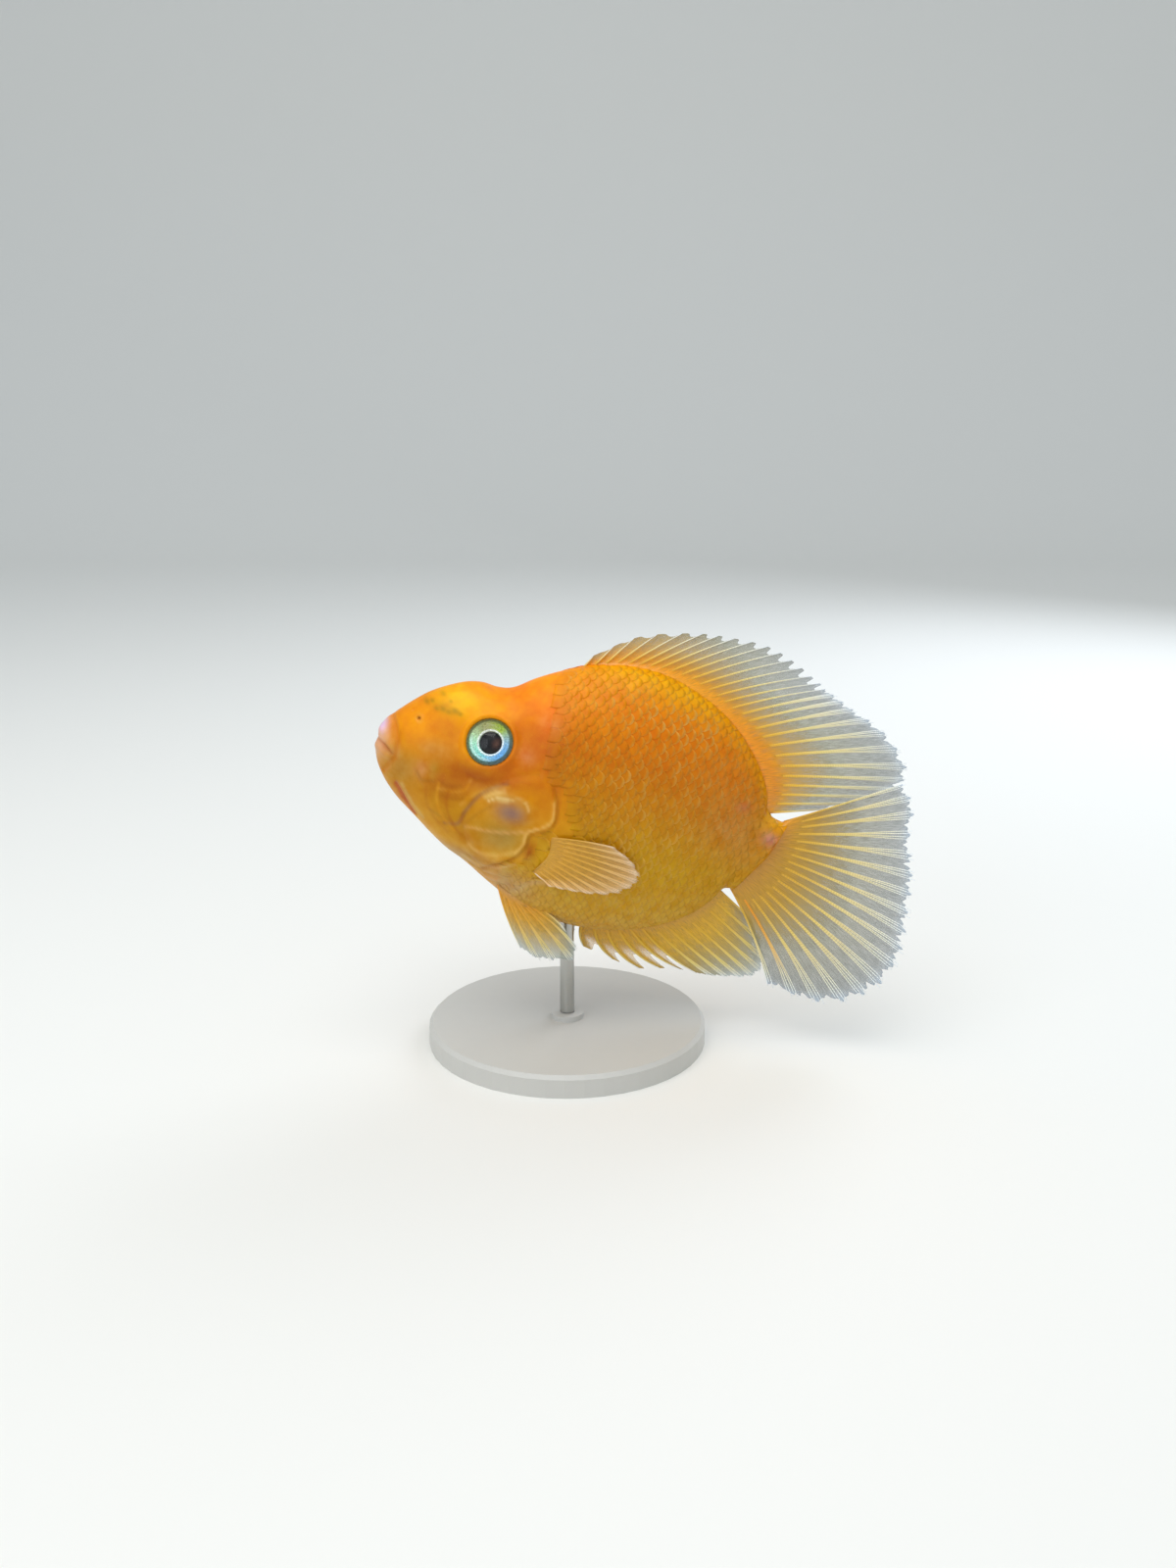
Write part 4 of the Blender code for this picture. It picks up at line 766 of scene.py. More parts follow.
CORNEA_RADIUS = 8.0
CORNEA_REACH = 6.12
CORNEA_THICK = 0.14
CORNEA_CENTRE = -5.29  # height of the dome's centre over the rim
dome = np.linspace(0, math.asin(CORNEA_REACH / CORNEA_RADIUS), 14)
outer_dome = CORNEA_RADIUS * np.stack([np.sin(dome), np.cos(dome)], -1) + (0.0, CORNEA_CENTRE)
inner_dome = outer_dome[::-1] * (0.985, 1.0) - (0.0, CORNEA_THICK)
inner_dome[-1, 0] = 0.0
cornea_profile = np.concatenate([outer_dome, inner_dome])
along = lengths(EYE_PROFILE)
dense = np.linspace(0, 1, EYE_RINGS) * along[-1]
eye_line = np.stack([np.interp(dense, along, EYE_PROFILE[:, k]) for k in (0, 1)], -1)
for side, name in ((-1, "left"), (1, "right")):
    centre, tailwards, up, look = eye_axes(side)
    for label, profile, look_of, shift in (
        ("eyeball", eye_line, iris_look, PUPIL),
        ("cornea", cornea_profile, clear_look, (0.0, 0.0)),
    ):
        local = turned_rings(profile, shift).reshape(-1, 3)
        points = centre + local[:, :1] * tailwards + local[:, 1:2] * up + local[:, 2:] * look
        faces = closed_turning(len(profile))
        if side < 0:
            faces = np.where(faces[:, 1:2] < 0, faces[:, [0, 3, 2, 1]], faces[:, ::-1])
        piece = new_piece(f"{label}_{name}", in_row(points), faces, [look_of])
        if label == "eyeball":
            paint(piece, "Iris", iris_colour(local[:, 0], local[:, 1]))
            unwrap(piece, "EyePlane", local[:, :2] / EYE_PLANE + 0.5)
            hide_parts(f"eye_{name}")
        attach(piece, "root")

# Scales: thin plates of bone in the skin, rounded behind and set like tiles from the gill covers to the
# tail, each over the roots of the next two. Their rear rims are paler than the rest, with a line of
# painted shade where the pale rim begins.
COLUMN = 1.3
ROW = 3.6
SCALE_LONG = 5.2
SCALE_HIGH = 2.0
SCALE_THICK = 0.07
SCALE_SUNK, SCALE_SLOPE = 0.15, 0.27  # root below the skin, rear rim above it
# The second colour is painted shade along the inner edge of each pale rim.
RIM_PALE, RIM_PAINTED_SHADE = "#FFC068", "#B85400"
LATERAL_LINE = np.array(
    [(50.0, 13.4), (57.0, 16.4), (65.0, 19.0), (76.0, 19.4), (85.0, 18.6), (93.0, 15.4)]
)
PORES_END = 94
SCALES_FROM = 37
FIN_ROOM = 3.2  # kept free of scales round the root of the pectoral fin
TABLE_ROWS = 400

t_table = np.linspace(0, 1, TABLE_ROWS)
phi_table = np.linspace(0, math.pi, 181)
table = body_point(t_table[:, None], phi_table[None, :])
mid_flank = table[:, 90]
round_steps = np.linalg.norm(np.diff(table, axis=1), axis=-1)
arc = np.concatenate([np.zeros((TABLE_ROWS, 1)), np.cumsum(round_steps, axis=1)], 1)
arc = arc[:, 90:91] - arc
along_side = lengths(mid_flank)


def on_body(s, v):
    """Station share and angle of a place s along the middle of the flank and v round it towards
    the back, by looking up the lengths of arc between two rings of a table."""
    t = np.interp(s, along_side, t_table)
    row = np.clip(t * (TABLE_ROWS - 1), 0, TABLE_ROWS - 1.001)
    low = row.astype(int)
    share = row - low
    angles = np.zeros(t.shape)
    for step, weight in ((0, 1 - share), (1, share)):
        index = low + step
        column = np.zeros(t.shape)
        for k in np.unique(index):
            here = index == k
            column[here] = np.interp(v[here], arc[k, ::-1], phi_table[::-1])
        angles += weight * column
    return t, angles


def skin_surface(t, angle):
    """Point of the skin with its relief, and the outward direction of the bare form there, by
    small steps along and round the body."""
    step = 0.002
    here = body_point(t, angle)
    along = body_point(np.minimum(t + step, 1), angle) - body_point(np.maximum(t - step, 0), angle)
    around = body_point(t, angle + step) - body_point(t, angle - step)
    out = unit(np.cross(around, along))
    return here + out * (relief(here) - COAT_DEPTH)[..., None], out


def closed_sheet(rows, columns):
    """Faces of a sheet with two sides and a wall round its edge. Its points are those of a grid on
    one side, then those on the other."""
    total = rows * columns
    place = np.arange(total).reshape(rows, columns)
    ring = np.concatenate([place[:, 0], place[-1, 1:], place[-2::-1, -1], place[0, -2:0:-1]])
    onward = np.roll(ring, -1)
    front = grid_faces(rows, columns)
    walls = np.stack([ring, onward, onward + total, ring + total], -1)
    return np.concatenate([front, front[:, ::-1] + total, walls])


ACROSS, ALONG = 8, 4
u = np.linspace(-1, 1, ACROSS)[None, :, None]
w = np.array([0.0, 0.45, 0.82, 1.0])[None, None, :]
rng = np.random.default_rng(7)
start = np.interp(SCALES_FROM, mid_flank[:, 0], along_side)
columns = np.arange(start, along_side[-1] - 1.0, COLUMN)
row_places = np.arange(-54, 54, ROW)
centres = np.array([(s, v + (i % 2) * ROW / 2) for i, s in enumerate(columns) for v in row_places])
t0, phi0 = on_body(centres[:, 0], centres[:, 1])
low_v = np.interp(t0, t_table, arc[:, -1])
high_v = np.interp(t0, t_table, arc[:, 0])
spot = body_point(t0, phi0)
keep = (centres[:, 1] > low_v + 0.4) & (centres[:, 1] < high_v - 0.4)
keep &= behind_gills(spot[:, 0], spot[:, 2]) > np.interp(spot[:, 2], [6, 14], [0.6, 3.0])
fin_root = line_on_flank([(50.2, -7.4), (50.8, -13.0), (48.4, -20.0)])
keep &= distance_to(spot, fin_root) > FIN_ROOM
centres = centres[keep]
each = ACROSS * ALONG

# What is alike on both sides: the middle of each scale, whether it carries a pore of the lateral
# line, and how flush it lies near the gill covers.
middle = body_point(*on_body(centres[:, 0] + 3, centres[:, 1]))
lateral = np.abs(middle[:, 2] - np.interp(middle[:, 0], LATERAL_LINE[:, 0], LATERAL_LINE[:, 1])) < 1.9
lateral &= middle[:, 0] < PORES_END
pore = 0.13 * lateral[:, None, None] * bell(u / 0.16) * ease((w - 0.4) / 0.3) * ease((1 - w) / 0.15)
flush = 0.35 + 0.65 * ease(behind_gills(middle[:, 0], middle[:, 2])[:, None, None] / 14)
shape = (len(centres), ACROSS, ALONG)
faces = closed_sheet(ACROSS, ALONG) + (np.arange(len(centres)) * 2 * each)[:, None, None]
faces = faces.reshape(-1, 4)


def both_faces(values):
    """Values given across and along a scale, for every point of both its faces."""
    return np.tile(np.broadcast_to(values, shape).reshape(len(centres), each), (1, 2))


# Scales differ by a few hundredths in length and height, and by about a tenth of a millimetre in
# place. Each narrows to its rear rim, lifts off the skin towards it, and is sunk at its root.
for side, name in ((-1, "left"), (1, "right")):
    jitter = rng.normal(0, 1, (len(centres), 4))[..., None, None]
    s0, v0 = centres[:, 0][:, None, None], centres[:, 1][:, None, None]
    long = SCALE_LONG * (1 + 0.03 * jitter[:, 0])
    high = SCALE_HIGH * (1 + 0.03 * jitter[:, 1])
    s = s0 + 0.08 * jitter[:, 2] + long * w * (1 - 0.34 * np.abs(u) ** 3 * w)
    v = v0 + 0.05 * jitter[:, 3] + high * u * (1 - 0.12 * (1 - w) ** 2)
    t, angle = on_body(*(np.broadcast_to(values, shape).reshape(-1) for values in (s, v)))
    base, out = skin_surface(t, angle if side < 0 else 2 * math.pi - angle)
    base, out = base.reshape(*shape, 3), out.reshape(*shape, 3)
    slope = (SCALE_SLOPE + 0.012 * jitter[:, 0]) * w - 0.03 * u**2 * w
    lift = 0.02 + flush * (slope + pore) - SCALE_SUNK * (1 - ease(w / 0.3))
    sides = [base + out * height[..., None] for height in (lift, lift - SCALE_THICK)]
    points = np.stack(sides, 1).reshape(-1, 3)
    reach = both_faces(w * (1 - 0.05 * u**2)).reshape(-1)
    row = bell((points[:, 0] - 72) / 20, (points[:, 2] - 29) / 5)
    broad = bell((points[:, 0] - 74) / 27, (points[:, 2] - 6) / 26)
    shown = np.repeat(0.5 + 0.9 * rng.random(len(centres)), 2 * each)
    shown = shown * (0.12 + 0.52 * row + 0.34 * broad)
    tint = mix(markings(points), RIM_PALE, shown * ease((reach - 0.8) / 0.18))
    # Painted shade: a darker line where each scale's pale rim begins.
    tint = mix(tint, RIM_PAINTED_SHADE, 0.35 * shown * bell((reach - 0.8) / 0.1))
    tone = 1 + 0.015 * np.repeat(jitter[:, 1].reshape(-1), 2 * each)
    coat = new_piece(f"scales_{name}", in_row(points), faces[:, ::-side], [skin_look])
    paint(coat, "Markings", np.clip(tint * tone[:, None], 0, 1))
    # Each scale has a small patch of its own in the map for baking, at its place on the body.
    root_v = phi0[keep] / (2 * math.pi)
    patch_u = both_faces((w - 0.5) * 0.003) + t0[keep][:, None]
    patch_v = both_faces(u * 0.0015) + (root_v if side < 0 else 1 - root_v)[:, None]
    unwrap(coat, "OFBake", np.stack([patch_u, patch_v], -1).reshape(-1, 2))
    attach(coat, "root")

# Fins: a thin clear membrane, yellow and fleshy at the root, folded a little between rays of jointed
# bone. Spines are single and pointed; soft rays split towards the edge, which is frayed and bluish.
SHEET_ROWS = 30
PER_GAP = 12
MEMBRANE_ROOT, MEMBRANE_EDGE = 0.1, 0.07
FOLD = 0.13
FRINGE, FRAY = 0.022, 0.008  # shares of a ray's length
BRANCH_ROOT, BRANCH_SPREAD = 0.06, 0.14  # shares of the gap between two rays
BAR_RINGS, BAR_SIDES = 22, 6
SPINE_THICK, RAY_THICK = (0.40, 0.09), (0.23, 0.13)  # radius at the root and at the tip


def fin_places(root, tips, bow, place, reach):
    """Places of a fin in the (a, h) plane: each ray is a quadratic curve from its root to its tip,
    bowed to the left of its run."""
    start, end = root(place), curve_through(tips, place)
    along = end - start
    control = (start + end) / 2
    control = control + np.stack([-along[..., 1], along[..., 0]], -1) * bow(place)[..., None]
    v = reach[..., None]
    return (1 - v) ** 2 * start + 2 * v * (1 - v) * control + v**2 * end


def outline_line(first, last, column, inwards):
    """Line along the back or belly between two shares of the stations, evenly spaced by length and
    sunk in the skin by a distance."""
    points = station(np.linspace(first, last, 120))[column]
    along = unit(np.gradient(points, axis=0))
    points = points + np.stack([-along[:, 1], along[:, 0]], 1) * inwards
    length = lengths(points)
    length /= length[-1]
    return lambda share: np.stack([np.interp(share, length, points[:, k]) for k in (0, 1)], -1)


def upright(root, tips, bow, sideways):
    """Surface of a fin in the middle plane, as a function of place along it and reach out of it:
    the curves of fin_places, leaning from the body's plane to its own towards the edge."""

    def surface(place, reach):
        flat = fin_places(root, tips, bow, place, reach)
        y = sway(root(place)[..., 0]) * (1 - reach) + sideways(flat[..., 0]) * reach
        return np.stack([flat[..., 0], y, flat[..., 1]], -1)

    return surface


def sheet_sides(surface, place, reach):
    """Unit vectors square to a fin's surface, by differences over its grid."""
    step = 0.004
    along = surface(np.clip(place + step, 0, 1), reach) - surface(np.clip(place - step, 0, 1), reach)
    out = surface(place, np.minimum(reach + step, 1.05)) - surface(place, np.maximum(reach - step, 0))
    return unit(np.cross(along, out))


# A web of clear moist skin, stretched between the rays: soft gloss, and a veil of colour over what
# lies behind it. Its fibres are drawn as streaks 0.25 mm wide and 2 mm long, coarser than in life.
STREAKS_PER_GAP = 15.0
STREAKS_LONG = 14.0
membrane_look, tree, shader = new_material(
    "moist_fin_membrane", Roughness=0.32, Coat_Weight=0.2, Coat_Roughness=0.12
)
paintwork = add_node(tree, "Attribute", attribute_name="Markings")
body_share = add_node(tree, "Attribute", attribute_name="Body")
fin_map = add_node(tree, "UVMap", uv_map="FinMap")
stretched = add_node(tree, "Mapping", fin_map, Scale=(STREAKS_PER_GAP * 4, STREAKS_LONG / 2, 1.0))
streak = add_node(tree, "TexNoise", stretched, Scale=1.0, Detail=4.0)
tinted, veil = (
    add_node(tree, "MapRange", streak, From_Min=0.3, From_Max=0.7, To_Min=lowest, To_Max=highest)
    for lowest, highest in ((0.85, 1.12), (0.8, 1.2))
)
tone = add_node(tree, "HueSaturation", Color=paintwork, Value=tinted)
opacity = add_node(tree, "Math", body_share.outputs["Fac"], veil, operation="MULTIPLY", use_clamp=True)
bump = add_node(tree, "Bump", Height=streak, Strength=0.3, Distance=0.0002)
set_node(shader, Base_Color=tone, Alpha=opacity, Normal=bump)

# Bone grown in short joints under a thin skin: smooth, pale and a little glossy, with a darker ring
# at each joint, every half millimetre on a ray 30 mm long.
JOINTS = 60.0
ray_look, tree, shader = new_material(
    "jointed_fin_bone", Roughness=0.4, Coat_Weight=0.2, Coat_Roughness=0.15
)
paintwork = add_node(tree, "Attribute", attribute_name="Markings")
fin_map = add_node(tree, "UVMap", uv_map="FinMap")
joints = add_node(
    tree,
    "TexWave",
    fin_map,
    bands_direction="Y",
    Scale=JOINTS / 2 * 2 * math.pi / 20,
    Distortion=1.2,
)
jointed = add_node(tree, "MapRange", joints.outputs["Fac"], To_Min=0.86, To_Max=1.08)
tone = add_node(tree, "HueSaturation", Color=paintwork, Value=jointed)
bump = add_node(tree, "Bump", Height=joints.outputs["Fac"], Strength=0.3, Distance=0.0001)
set_node(shader, Base_Color=tone, Normal=bump)


def fin_piece(
    name,
    node,
    surface,
    rays,
    spines,
    membrane_tones,
    ray_tones,
    body,
    root_extra,
    notch=0.03,
    spine_notch=0.1,
    spine_scale=1.0,
    ray_scale=1.0,
    clear_behind=0.1,
    colour_reach=np.ones_like,
    accent=(-1, "#000000"),
):
    """A fin's membrane, as a closed sheet that follows the surface and is notched between rays, and
    its rays, as tapering round bars, four to each soft ray, that spread apart on the way out. body
    is how opaque the web is by its reach, root_extra how much thicker it is at its root, and
    clear_behind how much clearer behind each free spine."""
    across = np.linspace(0, 1, (rays - 1) * PER_GAP + 1)[:, None]
    out = np.linspace(0, 1, SHEET_ROWS)[None, :] ** 0.9
    ray_at = across * (rays - 1)
    frac = ray_at - np.floor(ray_at)
    free = ray_at < spines - 1
    hooked = ease((frac - 0.22) / 0.56) * (1 - ease((frac - 0.92) / 0.08))
    lobe = np.where(free, hooked, (1 - np.cos(2 * math.pi * frac)) / 2)
    fringe = FRINGE * (1 - np.cos(6 * math.pi * frac)) / 2 * ~free
    wave = np.random.default_rng(len(name)).normal(0, FRAY, across.shape)
    limit = 1 - np.where(free, spine_notch, notch) * lobe - np.abs(wave) * ~free - fringe
    reach = out * limit
    place = np.broadcast_to(across, reach.shape)
    middle = surface(place, reach)
    side = sheet_sides(surface, place, reach)
    fold = FOLD * np.cos(2 * math.pi * ray_at) * ease(reach / 0.3)
    fleshy = root_extra(place) * np.clip(1 - reach / 0.35, 0, 1) ** 4
    half = (MEMBRANE_ROOT - (MEMBRANE_ROOT - MEMBRANE_EDGE) * reach + fleshy) / 2
    sheet_points = np.stack([middle + side * off[..., None] for off in (fold + half, fold - half)])
    sheet_points = sheet_points.reshape(-1, 3)
    sheet_faces = closed_sheet(*reach.shape)
    seen = reach * colour_reach(place)
    skin_share = 0.8 * ease((0.2 - reach) / 0.2)[..., None]
    tint = tones(seen, membrane_tones)
    tint = (tint + (markings(middle) - tint) * skin_share).reshape(-1, 3)
    solid = np.interp(seen, [stop for stop, _ in body], [value for _, value in body])
    solid *= 1 - clear_behind * free * ease((frac - 0.1) / 0.4) * ease((reach - 0.25) / 0.35)
    uv = np.stack([place * (rays - 1) / 4, reach * 2], -1).reshape(-1, 2)

    draws = np.random.default_rng(len(name) + rays)
    bars = []
    for i in range(rays):
        if i < spines:
            long = 1.0 + 0.02 * draws.random()
            bars.append((i, 0.0, long, SPINE_THICK[0] * spine_scale, SPINE_THICK[1]))
        else:
            bars += [(i, b, 1.01 - 0.03 * draws.random(), *RAY_THICK) for b in (-1.0, -0.4, 0.4, 1.0)]
    index, spread, long, thick, thin = np.array(bars).T[:, :, None]
    v = np.linspace(0, 1, BAR_RINGS)[None, :]
    fan = spread * (BRANCH_ROOT + BRANCH_SPREAD * ease((v - 0.45) / 0.55))
    place = np.clip((index + fan) / (rays - 1), 0, 1)
    reach = v * long
    core = surface(place, reach)
    square = sheet_sides(surface, place, reach)
    lateral = np.cross(unit(np.gradient(core, axis=1)), square)
    fold = FOLD * np.cos(2 * math.pi * place * (rays - 1)) * ease(reach / 0.3)
    core = core + square * fold[..., None]
    radius = ray_scale * (thick + (thin - thick) * v**0.8) * np.clip((1.02 - v) / 0.06, 0.25, 1)
    roll = np.linspace(0, 2 * math.pi, BAR_SIDES, endpoint=False)[:, None]
    circle = lateral[:, :, None] * np.cos(roll) + square[:, :, None] * np.sin(roll)
    bar_points = (core[:, :, None] + circle * radius[:, :, None, None]).reshape(-1, 3)
    lids = np.array([[0, 1, 2, 3], [0, 3, 4, 5]])
    tube = grid_faces(BAR_RINGS, BAR_SIDES, closed=True)
    one = np.concatenate([tube, lids[:, ::-1], lids + (BAR_RINGS - 1) * BAR_SIDES])
    shift = len(sheet_points) + np.arange(len(bars))[:, None, None] * BAR_RINGS * BAR_SIDES
    bar_faces = (one + shift).reshape(-1, 4)
    accented = 0.8 * (index == accent[0]) * ease((0.9 - reach) / 0.6)
    bar_tint = mix(tones(reach, ray_tones), accent[1], accented)
    bar_tint = np.repeat(bar_tint.reshape(-1, 3), BAR_SIDES, axis=0)
    bar_uv = np.stack([place * (rays - 1) / 4, reach * 2], -1).reshape(-1, 2)
    bar_uv = np.repeat(bar_uv, BAR_SIDES, axis=0)

    points = np.concatenate([sheet_points, bar_points])
    faces = np.concatenate([sheet_faces, bar_faces])[:, ::-1]
    slots = np.repeat([0, 1], [len(sheet_faces), len(bar_faces)])
    piece = new_piece(name, in_row(points), faces, [membrane_look, ray_look], slots)
    paint(piece, "Markings", np.clip(np.concatenate([tint, tint, bar_tint]), 0, 1))
    share = piece.data.attributes.new("Body", "FLOAT", "POINT")
    values = np.concatenate([solid.ravel(), solid.ravel(), np.ones(len(bar_points))])
    share.data.foreach_set("value", values.astype(np.float32))
    unwrap(piece, "FinMap", np.concatenate([uv, uv, bar_uv]))
    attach(piece, "root")
    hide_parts(node)


# Dorsal fin: sixteen spines and twelve soft rays, swept back.
DORSAL_TIPS = (
    (47.5, 37.2), (57.5, 45.4), (70.5, 50.3), (80.0, 52.0), (90.0, 52.6), (98.0, 50.7),
    (105.0, 47.8), (110.5, 45.7), (117.5, 43.2), (129.0, 39.0), (137.5, 30.5), (132.0, 23.0),
    (118.0, 14.8),
)
dorsal = upright(
    outline_line(12.65 / 23, 20.95 / 23, 0, -0.9),
    DORSAL_TIPS,
    lambda place: 0.05 * np.sin(math.pi * place),
    lambda a: 3.3 * (np.maximum(a - 60, 0) / 78) ** 2,
)
fin_piece(
    "dorsal_membrane_and_rays",
    "dorsal_fin",
    dorsal,
    28,
    16,
    (
        (0.0, "#F79C00"), (0.1, "#ECA004"), (0.25, "#C89A18"),
        (0.5, "#86804A"), (0.9, "#707874"), (1.0, "#D4E2F0"),
    ),
    ((0.0, "#EAA40E"), (0.25, "#F0BE38"), (0.5, "#F2DC8C"), (0.8, "#F6F0D4"), (1.0, "#ECF4FC")),
    ((0.0, 1.0), (0.1, 0.92), (0.28, 0.66), (0.55, 0.46), (0.94, 0.44), (1.0, 0.8)),
    lambda place: 3.4 - 0.8 * place,
    colour_reach=lambda place: 0.32 + 0.68 * ease(place / 0.6),
)

# Anal fin: six free spines, curved like claws, then eight soft rays.
ANAL_TIPS = (
    (68.5, -40.5), (84.0, -42.4), (94.3, -39.8), (103.5, -39.4),
    (111.0, -38.0), (117.0, -35.8), (117.5, -30.0), (110.5, -20.3),
)
anal = upright(
    outline_line(14.93 / 23, 20.85 / 23, 1, 0.9),
    ANAL_TIPS,
    lambda place: -0.26 + 0.26 * ease(place / 0.7),
    lambda a: 3.0 * (np.maximum(a - 68, 0) / 48) ** 1.5,
)
fin_piece(
    "anal_membrane_and_rays",
    "anal_fin",
    anal,
    14,
    6,
    ((0.0, "#D09A10"), (0.3, "#D8A618"), (0.6, "#B89A34"), (0.85, "#949470"), (1.0, "#D8E2E8")),
    ((0.0, "#E0A414"), (0.4, "#E8BC34"), (0.75, "#F0DC88"), (1.0, "#F0F6F8")),
    ((0.0, 1.0), (0.3, 0.92), (0.6, 0.72), (0.85, 0.52), (1.0, 0.75)),
    lambda place: 2.8 - 0.8 * place,
    spine_notch=0.42,
    spine_scale=1.7,
    clear_behind=0.65,
    colour_reach=lambda place: 0.45 + 0.55 * ease((place - 0.25) / 0.35),
)

# Tail fin: a wide fan of seventeen rays on a fleshy, scaled skirt. Its root is a straight line down
# the end of the tail, sunk in it.
CAUDAL_TIPS = (
    (134.5, 29.8), (139.0, 25.0), (141.0, 16.5), (144.5, 8.5), (146.5, 0.5), (148.0, -7.5),
    (149.0, -15.5), (146.5, -24.5), (140.5, -31.5), (131.0, -35.6), (119.5, -35.2),
)
CAUDAL_SUNK = 1.2
tail_back, tail_belly, tail_width = station(1.0)
down = tail_belly - tail_back
sunk_back = tail_back - unit(np.array([-down[1], down[0]])) * CAUDAL_SUNK
caudal = upright(
    lambda share: sunk_back + down * share[..., None],
    CAUDAL_TIPS,
    lambda place: -0.04 + 0.11 * place**2,
    sway,
)
fin_piece(
    "caudal_membrane_and_rays",
    "caudal_fin",
    caudal,
    17,
    0,
    (
        (0.0, "#CE9222"), (0.2, "#CA961C"), (0.4, "#AE8E2E"),
        (0.6, "#807A50"), (0.92, "#6E7674"), (1.0, "#D0DEEE"),
    ),
    ((0.0, "#DC9E1A"), (0.3, "#E4B638"), (0.55, "#ECD27C"), (0.85, "#F2EED2"), (1.0, "#EAF4FE")),
    ((0.0, 1.0), (0.2, 0.94), (0.4, 0.7), (0.65, 0.46), (0.94, 0.44), (1.0, 0.8)),
    lambda place: 2 * tail_width * width_share(np.arccos(np.clip(1 - 2 * place, -1, 1))) * 0.9,
    accent=(15, "#F39A10"),
)

# Pectoral fins: small clear fans that lie back along the flanks from an upright root behind the gill
# cover, twelve soft rays each.
PECTORAL_ROOT = ((50.2, -8.2), (50.8, -13.0), (48.4, -19.0))
PECTORAL_TIPS = (
    (66.0, -5.3), (71.8, -8.0), (74.9, -11.5), (74.3, -14.9),
    (70.5, -18.2), (64.5, -19.9), (58.5, -20.6), (53.5, -21.0),
)
for side, name in ((-1, "left"), (1, "right")):

    def pectoral(place, reach):
        """Curves from root to tip in the (a, h) plane, standing off the flank by a power of the
        reach, with a slow wave near the lower edge."""
        line = fin_places(
            lambda share: curve_through(PECTORAL_ROOT, share),
            PECTORAL_TIPS,
            lambda share: 0.06 - 0.08 * share,
            place,
            reach,
        )
        wave = 0.35 * np.sin(9 * reach) * ease((place - 0.55) / 0.4) * reach
        off = 0.1 + 0.4 * ease(reach / 0.15) + 2.3 * np.maximum(reach, 0) ** 1.3 + wave
        return np.stack([line[..., 0], side * (flank(line[..., 0], line[..., 1]) + off), line[..., 1]], -1)

    fin_piece(
        f"pectoral_membrane_and_rays_{name}",
        f"pectoral_fin_{name}",
        pectoral,
        12,
        0,
        ((0.0, "#D29218"), (0.2, "#DCA028"), (0.5, "#DAA238"), (0.85, "#E4B468"), (1.0, "#F2D2A8")),
        ((0.0, "#DC9E1C"), (0.5, "#E4B044"), (0.85, "#EEC484"), (1.0, "#F6DCC0")),
        ((0.0, 1.0), (0.3, 0.82), (0.7, 0.56), (0.95, 0.6), (1.0, 0.8)),
        lambda place: 1.6,
        notch=0.02,
        ray_scale=0.8,
        accent=(11, "#F6DCC0"),
    )

# Pelvic fins: a pair of pointed webs under the breast, splayed a little, each on one hard spine and
# five soft rays.
PELVIC_TIPS = ((51.5, -42.2), (56.5, -43.9), (61.0, -43.1), (66.0, -41.7), (65.6, -37.6), (61.0, -33.6))
PELVIC_FRONT, PELVIC_LONG = 41.0, 9.0
PELVIC_OUT, PELVIC_SPLAY = 7.4, 2.4


def underside(a, y):
    """Height of the belly's surface at (a, y), by bisection between the belly and mid-height."""
    low, high = np.full(a.shape, -36.0), np.full(a.shape, -8.0)
    for _ in range(30):
        h = (low + high) / 2
        outside = flank(a, h) <= np.abs(y)
        low, high = np.where(outside, h, low), np.where(outside, high, h)
    return high


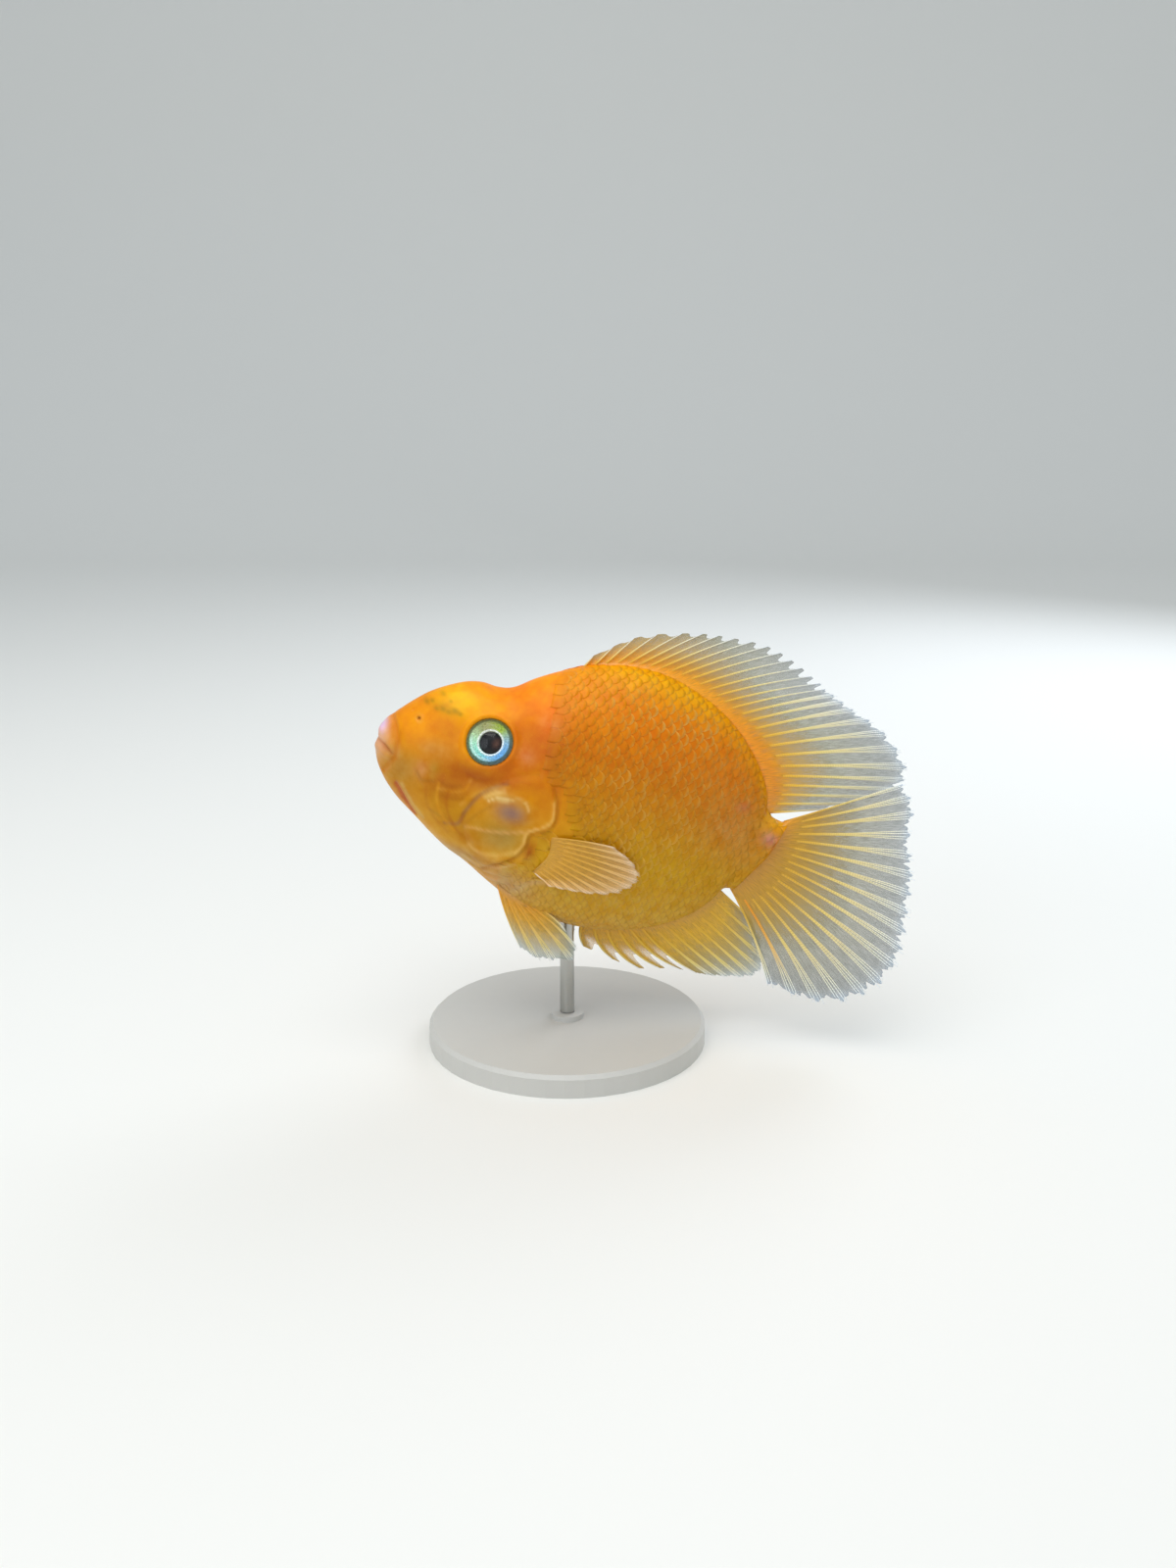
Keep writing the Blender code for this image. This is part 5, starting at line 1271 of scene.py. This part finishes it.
for side, name in ((-1, "left"), (1, "right")):

    def pelvic(place, reach):
        """Curves from the breast downwards and back, splayed outwards towards the tips."""
        y = PELVIC_OUT + PELVIC_SPLAY * reach

        def root(share):
            a = PELVIC_FRONT + PELVIC_LONG * share
            return np.stack([a, underside(a, y) + 0.7], -1)

        flat = fin_places(root, PELVIC_TIPS, lambda share: -0.1 + 0.16 * share, place, reach)
        return np.stack([flat[..., 0], side * y, flat[..., 1]], -1)

    fin_piece(
        f"pelvic_membrane_and_rays_{name}",
        f"pelvic_fin_{name}",
        pelvic,
        6,
        1,
        ((0.0, "#E0940C"), (0.35, "#DDA01A"), (0.65, "#C4A244"), (0.95, "#A8B0A4"), (1.0, "#D4DEE4")),
        ((0.0, "#E8960C"), (0.45, "#E8B030"), (0.8, "#EAD890"), (1.0, "#EEF2F0")),
        ((0.0, 1.0), (0.4, 0.9), (0.7, 0.66), (0.95, 0.5), (1.0, 0.7)),
        lambda place: 2.2,
    )

# Stand: a turned aluminium disc with a powder coat, and a short round bar of stainless steel that is
# screwed into it and holds the model under the belly. Both keep their solids from the frame.
#
# Powder coat, sprayed on and baked: an even satin with a faint orange peel 2.9 mm wide, about as in
# life.
ORANGE_PEEL = 2.9
coat_look, tree, shader = new_material("satin_powder_coat", "#C9C7C1", Roughness=0.42)
place = add_node(tree, "TexCoord")
dapple = add_node(tree, "TexNoise", place.outputs["Object"], Scale=1 / (ORANGE_PEEL * MM), Detail=3.0)
matt = add_node(tree, "MapRange", dapple, To_Min=0.34, To_Max=0.52)
bump = add_node(tree, "Bump", Height=dapple, Strength=0.12, Distance=0.0001)
set_node(shader, Roughness=matt, Normal=bump)

# Stainless steel, brushed while it turns in a lathe: grey, with fine rings that draw its highlight
# out along the bar. Their grit, a hundredth of a millimetre in life, is drawn 0.08 mm wide.
RING_LONG = 3.3
RING_WIDE = 0.083
steel_look, tree, shader = new_material("brushed_steel", "#B8B8B4", Roughness=0.3, Metallic=1.0)
place = add_node(tree, "TexCoord")
drawn = add_node(tree, "Mapping", place.outputs["Object"], Scale=(1.0, 1.0, RING_LONG / RING_WIDE))
lines = add_node(tree, "TexNoise", drawn, Scale=1 / (RING_LONG * MM), Detail=2.0)
rough = add_node(tree, "MapRange", lines, To_Min=0.22, To_Max=0.42)
set_node(shader, Roughness=rough)
for node, look in (("stand_base", coat_look), ("stand_rod", steel_look)):
    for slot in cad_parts[node].material_slots:
        slot.material = look
